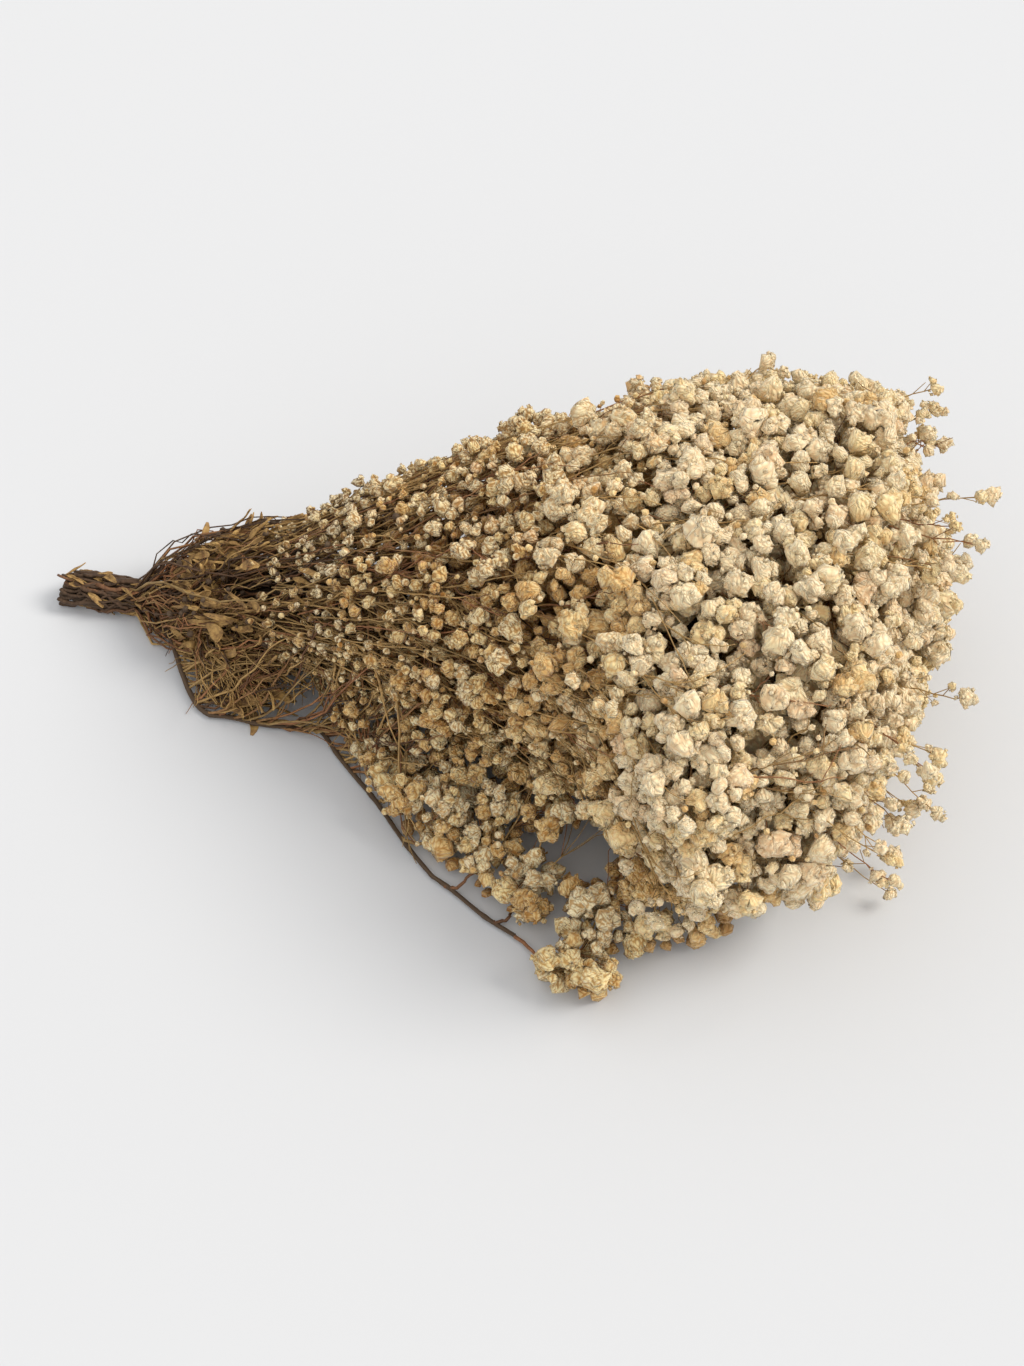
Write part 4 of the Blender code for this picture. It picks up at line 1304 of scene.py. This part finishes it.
def twig_finish(name, gold, olive, russet, dark):
    """Thin stalks: golden, olive, russet or dark by their tint, streaked along their length."""
    finish = Finish(name, Specular_IOR_Level=0.3)
    tint, band = finish.map_places()
    grain = finish.grain(tint * 40.0, band * 90.0)
    halfway = between(gold, olive, 0.5)
    kind = finish.ramp(tint, (0.10, gold), (0.42, halfway), (0.55, olive), (0.72, russet), (0.95, dark))
    shade = finish.ramp(grain, (0.32, (0.55, 0.50, 0.45)), (0.68, (1.15, 1.12, 1.05)))
    finish.end("Base Color", finish.product(kind, shade))
    finish.end("Roughness", 0.50 + 0.3 * grain)
    finish.bump(grain, 0.3, 0.0002)
    return finish.material


def bark_finish(name, dark, light):
    """Dry bark: lengthwise streaks from dark brown to a paler brown."""
    finish = Finish(name, Specular_IOR_Level=0.25)
    length, turn = finish.map_places()
    streak = finish.grain(length * 14.0, turn * 34.0, 4.0)
    fleck = finish.grain(length * 160.0, turn * 40.0, 2.0)
    shade = streak * 0.65 + fleck * 0.35
    colour = finish.ramp(shade, (0.34, dark), (0.52, between(dark, light, 0.4)), (0.68, light))
    finish.end("Base Color", colour)
    finish.end("Roughness", 0.55 + 0.35 * fleck)
    finish.bump(shade, 0.6, 0.0006)
    return finish.material


def leaf_finish(name, gold, brown, dark):
    """Dried leaves: golden to dark brown in blotches, with fine veins along the blade."""
    finish = Finish(name, Specular_IOR_Level=0.3)
    length, lane = finish.map_places()
    blotch = finish.grain(length * 3.5, lane * 16.0, 3.0)
    vein = finish.grain(length * 9.0, lane * 300.0, 2.0)
    shade = blotch * 0.7 + vein * 0.3
    colour = finish.ramp(shade, (0.34, dark), (0.48, brown), (0.60, gold))
    finish.end("Base Color", colour)
    finish.end("Roughness", 0.5 + 0.35 * vein)
    finish.bump(vein, 0.5, 0.0005)
    return finish.material


@lru_cache(maxsize=1)
def finishes():
    """Every finish of the bundle by name."""
    colours = bpy.context.scene.bundle_colours

    def chosen(*names):
        return [tuple(getattr(colours, name)) for name in names]

    made = {}
    # Each flower finish takes a crease colour, which is partly painted shade, and a petal colour.
    for kind in ("brown", "golden", "cream", "pale", "stray"):
        name = f"{kind}_flowers"
        made[name] = flower_finish(name, *chosen(f"{kind}_crease", f"{kind}_petal"))
    made["twig"] = twig_finish("twig", *chosen("gold", "olive", "russet", "dark"))
    made["stem"] = bark_finish("stem", *chosen("bark_dark", "bark_light"))
    made["leaf"] = leaf_finish("leaf", *chosen("leaf_gold", "leaf_brown", "leaf_dark"))
    return made


# The stage.


def floor_mesh(half, step_count=8):
    """A flat square grid at z = 0, slightly below the bundle."""
    side = np.linspace(-half, half, step_count + 1)
    x, y = np.meshgrid(side, side, indexing="ij")
    points = np.stack([x.ravel(), y.ravel(), np.zeros(x.size)], -1)
    row, column = np.meshgrid(np.arange(step_count), np.arange(step_count), indexing="ij")
    here = (row * (step_count + 1) + column).ravel()
    across = step_count + 1
    faces = np.stack([here, here + across, here + across + 1, here + 1], -1)
    mesh = bpy.data.meshes.new("floor")
    mesh.from_pydata(points.tolist(), [], faces.tolist())
    return mesh


def aim(thing, target):
    """Turns an object so that it looks at target."""
    way = Vector(target) - thing.location
    thing.rotation_euler = way.to_track_quat("-Z", "Y").to_euler()


def far_lamp(name, toward, spread, power, colour):
    """A soft far lamp that shines from the direction toward, over an angle spread."""
    lamp = bpy.data.lights.new(name, "SUN")
    lamp.angle, lamp.energy, lamp.color = spread, power, colour
    made = bpy.data.objects.new(name, lamp)
    bpy.context.scene.collection.objects.link(made)
    made.location = toward
    aim(made, (0.0, 0.0, 0.0))
    return made


# Settings.


def colour_setting(name, description, default):
    """A colour of the panel."""
    limits = {"subtype": "COLOR", "size": 3, "min": 0.0, "max": 1.0}
    return FloatVectorProperty(name=name, description=description, default=default, **limits)


class BundleFlowers(bpy.types.PropertyGroup):
    """Sizes of the flowers."""

    size: FloatProperty(
        name="Flower size", description="Scale of every flower", default=1.0, min=0.5, max=1.5
    )
    crumbs: FloatProperty(
        name="Petals", description="Petals across the map of the flowers", default=82.0, min=40.0, max=200.0
    )


class BundleColours(bpy.types.PropertyGroup):
    """Colours of the flowers, twigs, bark and leaves."""

    # The crease colours are partly the petals' own tan and partly painted shade in the creases. They darken
    # towards the neck, partly with the flowers' browner colour there and partly as painted shade.
    brown_crease: colour_setting("Brown creases", "Creases of the flowers at the neck", (0.36, 0.21, 0.08))
    brown_petal: colour_setting("Brown petals", "Petals of the flowers at the neck", (0.92, 0.80, 0.54))
    golden_crease: colour_setting("Golden creases", "Creases of the lower flowers", (0.57, 0.34, 0.13))
    golden_petal: colour_setting("Golden petals", "Petals of the lower flowers", (0.96, 0.83, 0.53))
    cream_crease: colour_setting("Cream creases", "Creases of the flowers halfway", (0.79, 0.56, 0.29))
    cream_petal: colour_setting("Cream petals", "Petals of the flowers halfway", (0.97, 0.85, 0.57))
    pale_crease: colour_setting("Pale creases", "Creases of the flowers at the tips", (0.90, 0.71, 0.45))
    pale_petal: colour_setting("Pale petals", "Petals of the flowers at the tips", (0.98, 0.87, 0.61))
    stray_crease: colour_setting("Stray creases", "Creases of the stray stem's flowers", (0.67, 0.44, 0.19))
    stray_petal: colour_setting("Stray petals", "Petals of the stray stem's flowers", (0.98, 0.88, 0.60))
    gold: colour_setting("Golden twigs", "Colour of golden twigs", (0.52, 0.34, 0.14))
    olive: colour_setting("Olive twigs", "Colour of olive twigs", (0.31, 0.21, 0.09))
    russet: colour_setting("Russet twigs", "Colour of reddish twigs", (0.37, 0.17, 0.08))
    dark: colour_setting("Dark twigs", "Colour of dark twigs", (0.088, 0.053, 0.032))
    bark_dark: colour_setting("Dark bark", "Colour of the bark's hollows", (0.050, 0.030, 0.019))
    bark_light: colour_setting("Light bark", "Colour of the bark's ridges", (0.175, 0.118, 0.072))
    leaf_gold: colour_setting("Golden leaf", "Palest parts of the leaves", (0.56, 0.36, 0.13))
    leaf_brown: colour_setting("Brown leaf", "Main colour of the leaves", (0.34, 0.20, 0.075))
    leaf_dark: colour_setting("Dark leaf", "Darkest parts of the leaves", (0.12, 0.065, 0.03))


class BundleStage(bpy.types.PropertyGroup):
    """Light and camera."""

    floor: colour_setting("Floor", "Colour of the floor", (0.640, 0.658, 0.692))
    key_power: FloatProperty(
        name="Key lamp", description="Strength of the lamp at the right", default=2.05, min=0.0
    )
    fill: FloatProperty(
        name="Fill", description="Strength of the light from all round", default=0.90, min=0.0
    )
    elevation: FloatProperty(
        name="Elevation",
        description="Camera angle above the surface",
        default=math.radians(52),
        subtype="ANGLE",
    )
    azimuth: FloatProperty(
        name="Azimuth",
        description="Camera turn about the bundle",
        default=math.radians(10),
        subtype="ANGLE",
    )
    distance: FloatProperty(
        name="Distance",
        description="Camera distance",
        default=0.999,
        min=0.1,
        subtype="DISTANCE",
        unit="LENGTH",
    )


# Operators.


def spray_nodes(*rings):
    """Names of the CAD sprays of some rings, in order."""
    return [name for ring in rings for name in sorted(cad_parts) if name.startswith(f"{ring}_spray")]


def build_sprays(names, slot):
    """Builds the sprays in names."""
    looks = [finishes()[slot], finishes()["twig"]]
    for name in names:
        new_piece(f"{name}_flowers", spray_patches(name), looks, name)


class BUNDLE_OT_neck_sprays(bpy.types.Operator):
    """Build the small brown sprays at the neck"""

    bl_idname = "bundle.neck_sprays"
    bl_label = "Neck sprays"

    def execute(self, context):
        build_sprays(spray_nodes("neck"), "brown_flowers")
        return {"FINISHED"}


class BUNDLE_OT_lower_sprays(bpy.types.Operator):
    """Build the golden sprays of the lower and inner rings"""

    bl_idname = "bundle.lower_sprays"
    bl_label = "Lower sprays"

    def execute(self, context):
        build_sprays(spray_nodes("lower", "inner"), "golden_flowers")
        return {"FINISHED"}


class BUNDLE_OT_middle_sprays(bpy.types.Operator):
    """Build the cream sprays of the middle ring"""

    bl_idname = "bundle.middle_sprays"
    bl_label = "Middle sprays"

    def execute(self, context):
        build_sprays(spray_nodes("middle"), "cream_flowers")
        return {"FINISHED"}


class BUNDLE_OT_pale_sprays(bpy.types.Operator):
    """Build the pale sprays of the full ring, the crown and the tip"""

    bl_idname = "bundle.pale_sprays"
    bl_label = "Pale sprays"

    def execute(self, context):
        build_sprays(spray_nodes("full", "crown") + ["tip_spray"], "pale_flowers")
        return {"FINISHED"}


class BUNDLE_OT_stray_sprays(bpy.types.Operator):
    """Build the clumps on the stray stem"""

    bl_idname = "bundle.stray_sprays"
    bl_label = "Stray sprays"

    def execute(self, context):
        build_sprays(spray_nodes("stray"), "stray_flowers")
        return {"FINISHED"}


class BUNDLE_OT_stems(bpy.types.Operator):
    """Build the ring of stems with their branches and side twigs"""

    bl_idname = "bundle.stems"
    bl_label = "Stems"

    def execute(self, context):
        looks = [finishes()["stem"], finishes()["twig"]]
        for number in range(RING_STEMS):
            node = f"stem_{number + 1}"
            new_piece(f"{node}_bark", stem_patches(node, number), looks, node)
        new_piece("middle_stem_bark", middle_stem_patches(), looks, "middle_stem")
        return {"FINISHED"}


class BUNDLE_OT_stray_stem(bpy.types.Operator):
    """Build the stem that strays from the bundle"""

    bl_idname = "bundle.stray_stem"
    bl_label = "Stray stem"

    def execute(self, context):
        looks = [finishes()["stem"], finishes()["twig"]]
        new_piece("stray_stem_bark", stray_stem_patches(), looks, "stray_stem")
        return {"FINISHED"}


class BUNDLE_OT_leaves(bpy.types.Operator):
    """Build the tufts of dried leaves at the neck"""

    bl_idname = "bundle.leaves"
    bl_label = "Leaves"

    def execute(self, context):
        for name in sorted(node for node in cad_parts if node.startswith("leaf_")):
            made = new_piece(f"{name}_tuft", leaf_patches(name), [finishes()["leaf"]], name)
            blade = made.modifiers.new("blade", "SOLIDIFY")
            blade.thickness = BLADE_THICKNESS
            blade.offset = 0.0
        return {"FINISHED"}


class BUNDLE_OT_stage(bpy.types.Operator):
    """Build the floor, the light and the camera"""

    bl_idname = "bundle.stage"
    bl_label = "Stage"

    def execute(self, context):
        scene = context.scene
        settings = scene.bundle_stage
        floor = bpy.data.objects.new("floor", floor_mesh(6.0))
        scene.collection.objects.link(floor)
        finish = Finish("floor", Specular_IOR_Level=0.2, Roughness=0.9)
        finish.end("Base Color", (*settings.floor, 1.0))
        floor.data.materials.append(finish.material)
        toward, warm = (0.715, 0.21, 0.69), (1.0, 0.95, 0.87)
        key = far_lamp("key_lamp", toward, math.radians(28), settings.key_power, warm)
        world = bpy.data.worlds.new("studio")
        scene.world = world
        world.use_nodes = True
        tree = world.node_tree
        plain = tree.nodes["Background"]
        plain.inputs["Color"].default_value = (1.0, 0.985, 0.96, 1.0)
        plain.inputs["Strength"].default_value = settings.fill
        seen = tree.nodes.new("ShaderNodeBackground")
        seen.inputs["Color"].default_value = (0.87, 0.87, 0.87, 1.0)
        path = tree.nodes.new("ShaderNodeLightPath")
        mix = tree.nodes.new("ShaderNodeMixShader")
        tree.links.new(path.outputs["Is Camera Ray"], mix.inputs[0])
        tree.links.new(plain.outputs[0], mix.inputs[1])
        tree.links.new(seen.outputs[0], mix.inputs[2])
        tree.links.new(mix.outputs[0], tree.nodes["World Output"].inputs[0])
        camera = bpy.data.cameras.new("camera")
        camera.lens = 55
        camera.shift_x, camera.shift_y = -0.0358, -0.0583
        made = bpy.data.objects.new("camera", camera)
        scene.collection.objects.link(made)
        target = np.array([0.25, 0.0, 0.05]) + SHIFT
        a, e = settings.azimuth, settings.elevation
        back = np.array([math.sin(a) * math.cos(e), -math.cos(a) * math.cos(e), math.sin(e)])
        made.location = target + back * settings.distance
        aim(made, target)
        scene.camera = made
        scene.view_settings.view_transform = "Standard"
        return {"FINISHED"}


BUILDERS = (
    BUNDLE_OT_neck_sprays,
    BUNDLE_OT_lower_sprays,
    BUNDLE_OT_middle_sprays,
    BUNDLE_OT_pale_sprays,
    BUNDLE_OT_stray_sprays,
    BUNDLE_OT_stems,
    BUNDLE_OT_stray_stem,
    BUNDLE_OT_leaves,
    BUNDLE_OT_stage,
)


class BUNDLE_PT_panel(bpy.types.Panel):
    """The bundle's builders and settings"""

    bl_idname = "BUNDLE_PT_panel"
    bl_label = "Baby's breath bundle"
    bl_space_type = "VIEW_3D"
    bl_region_type = "UI"
    bl_category = "Bundle"

    def draw(self, context):
        for builder in BUILDERS:
            self.layout.operator(builder.bl_idname)
        for settings in ("bundle_flowers", "bundle_colours", "bundle_stage"):
            group = getattr(context.scene, settings)
            box = self.layout.box()
            for name in group.__annotations__:
                box.prop(group, name)


CLASSES = (BundleFlowers, BundleColours, BundleStage, *BUILDERS, BUNDLE_PT_panel)


def register():
    for made in CLASSES:
        bpy.utils.register_class(made)
    bpy.types.Scene.bundle_flowers = PointerProperty(type=BundleFlowers)
    bpy.types.Scene.bundle_colours = PointerProperty(type=BundleColours)
    bpy.types.Scene.bundle_stage = PointerProperty(type=BundleStage)


def unregister():
    for name in ("bundle_flowers", "bundle_colours", "bundle_stage"):
        delattr(bpy.types.Scene, name)
    for made in reversed(CLASSES):
        bpy.utils.unregister_class(made)


def main():
    """Builds every piece and the stage."""
    register()
    for builder in BUILDERS:
        group, name = builder.bl_idname.split(".")
        getattr(getattr(bpy.ops, group), name)()
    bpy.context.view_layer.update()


if __name__ == "__main__":
    main()
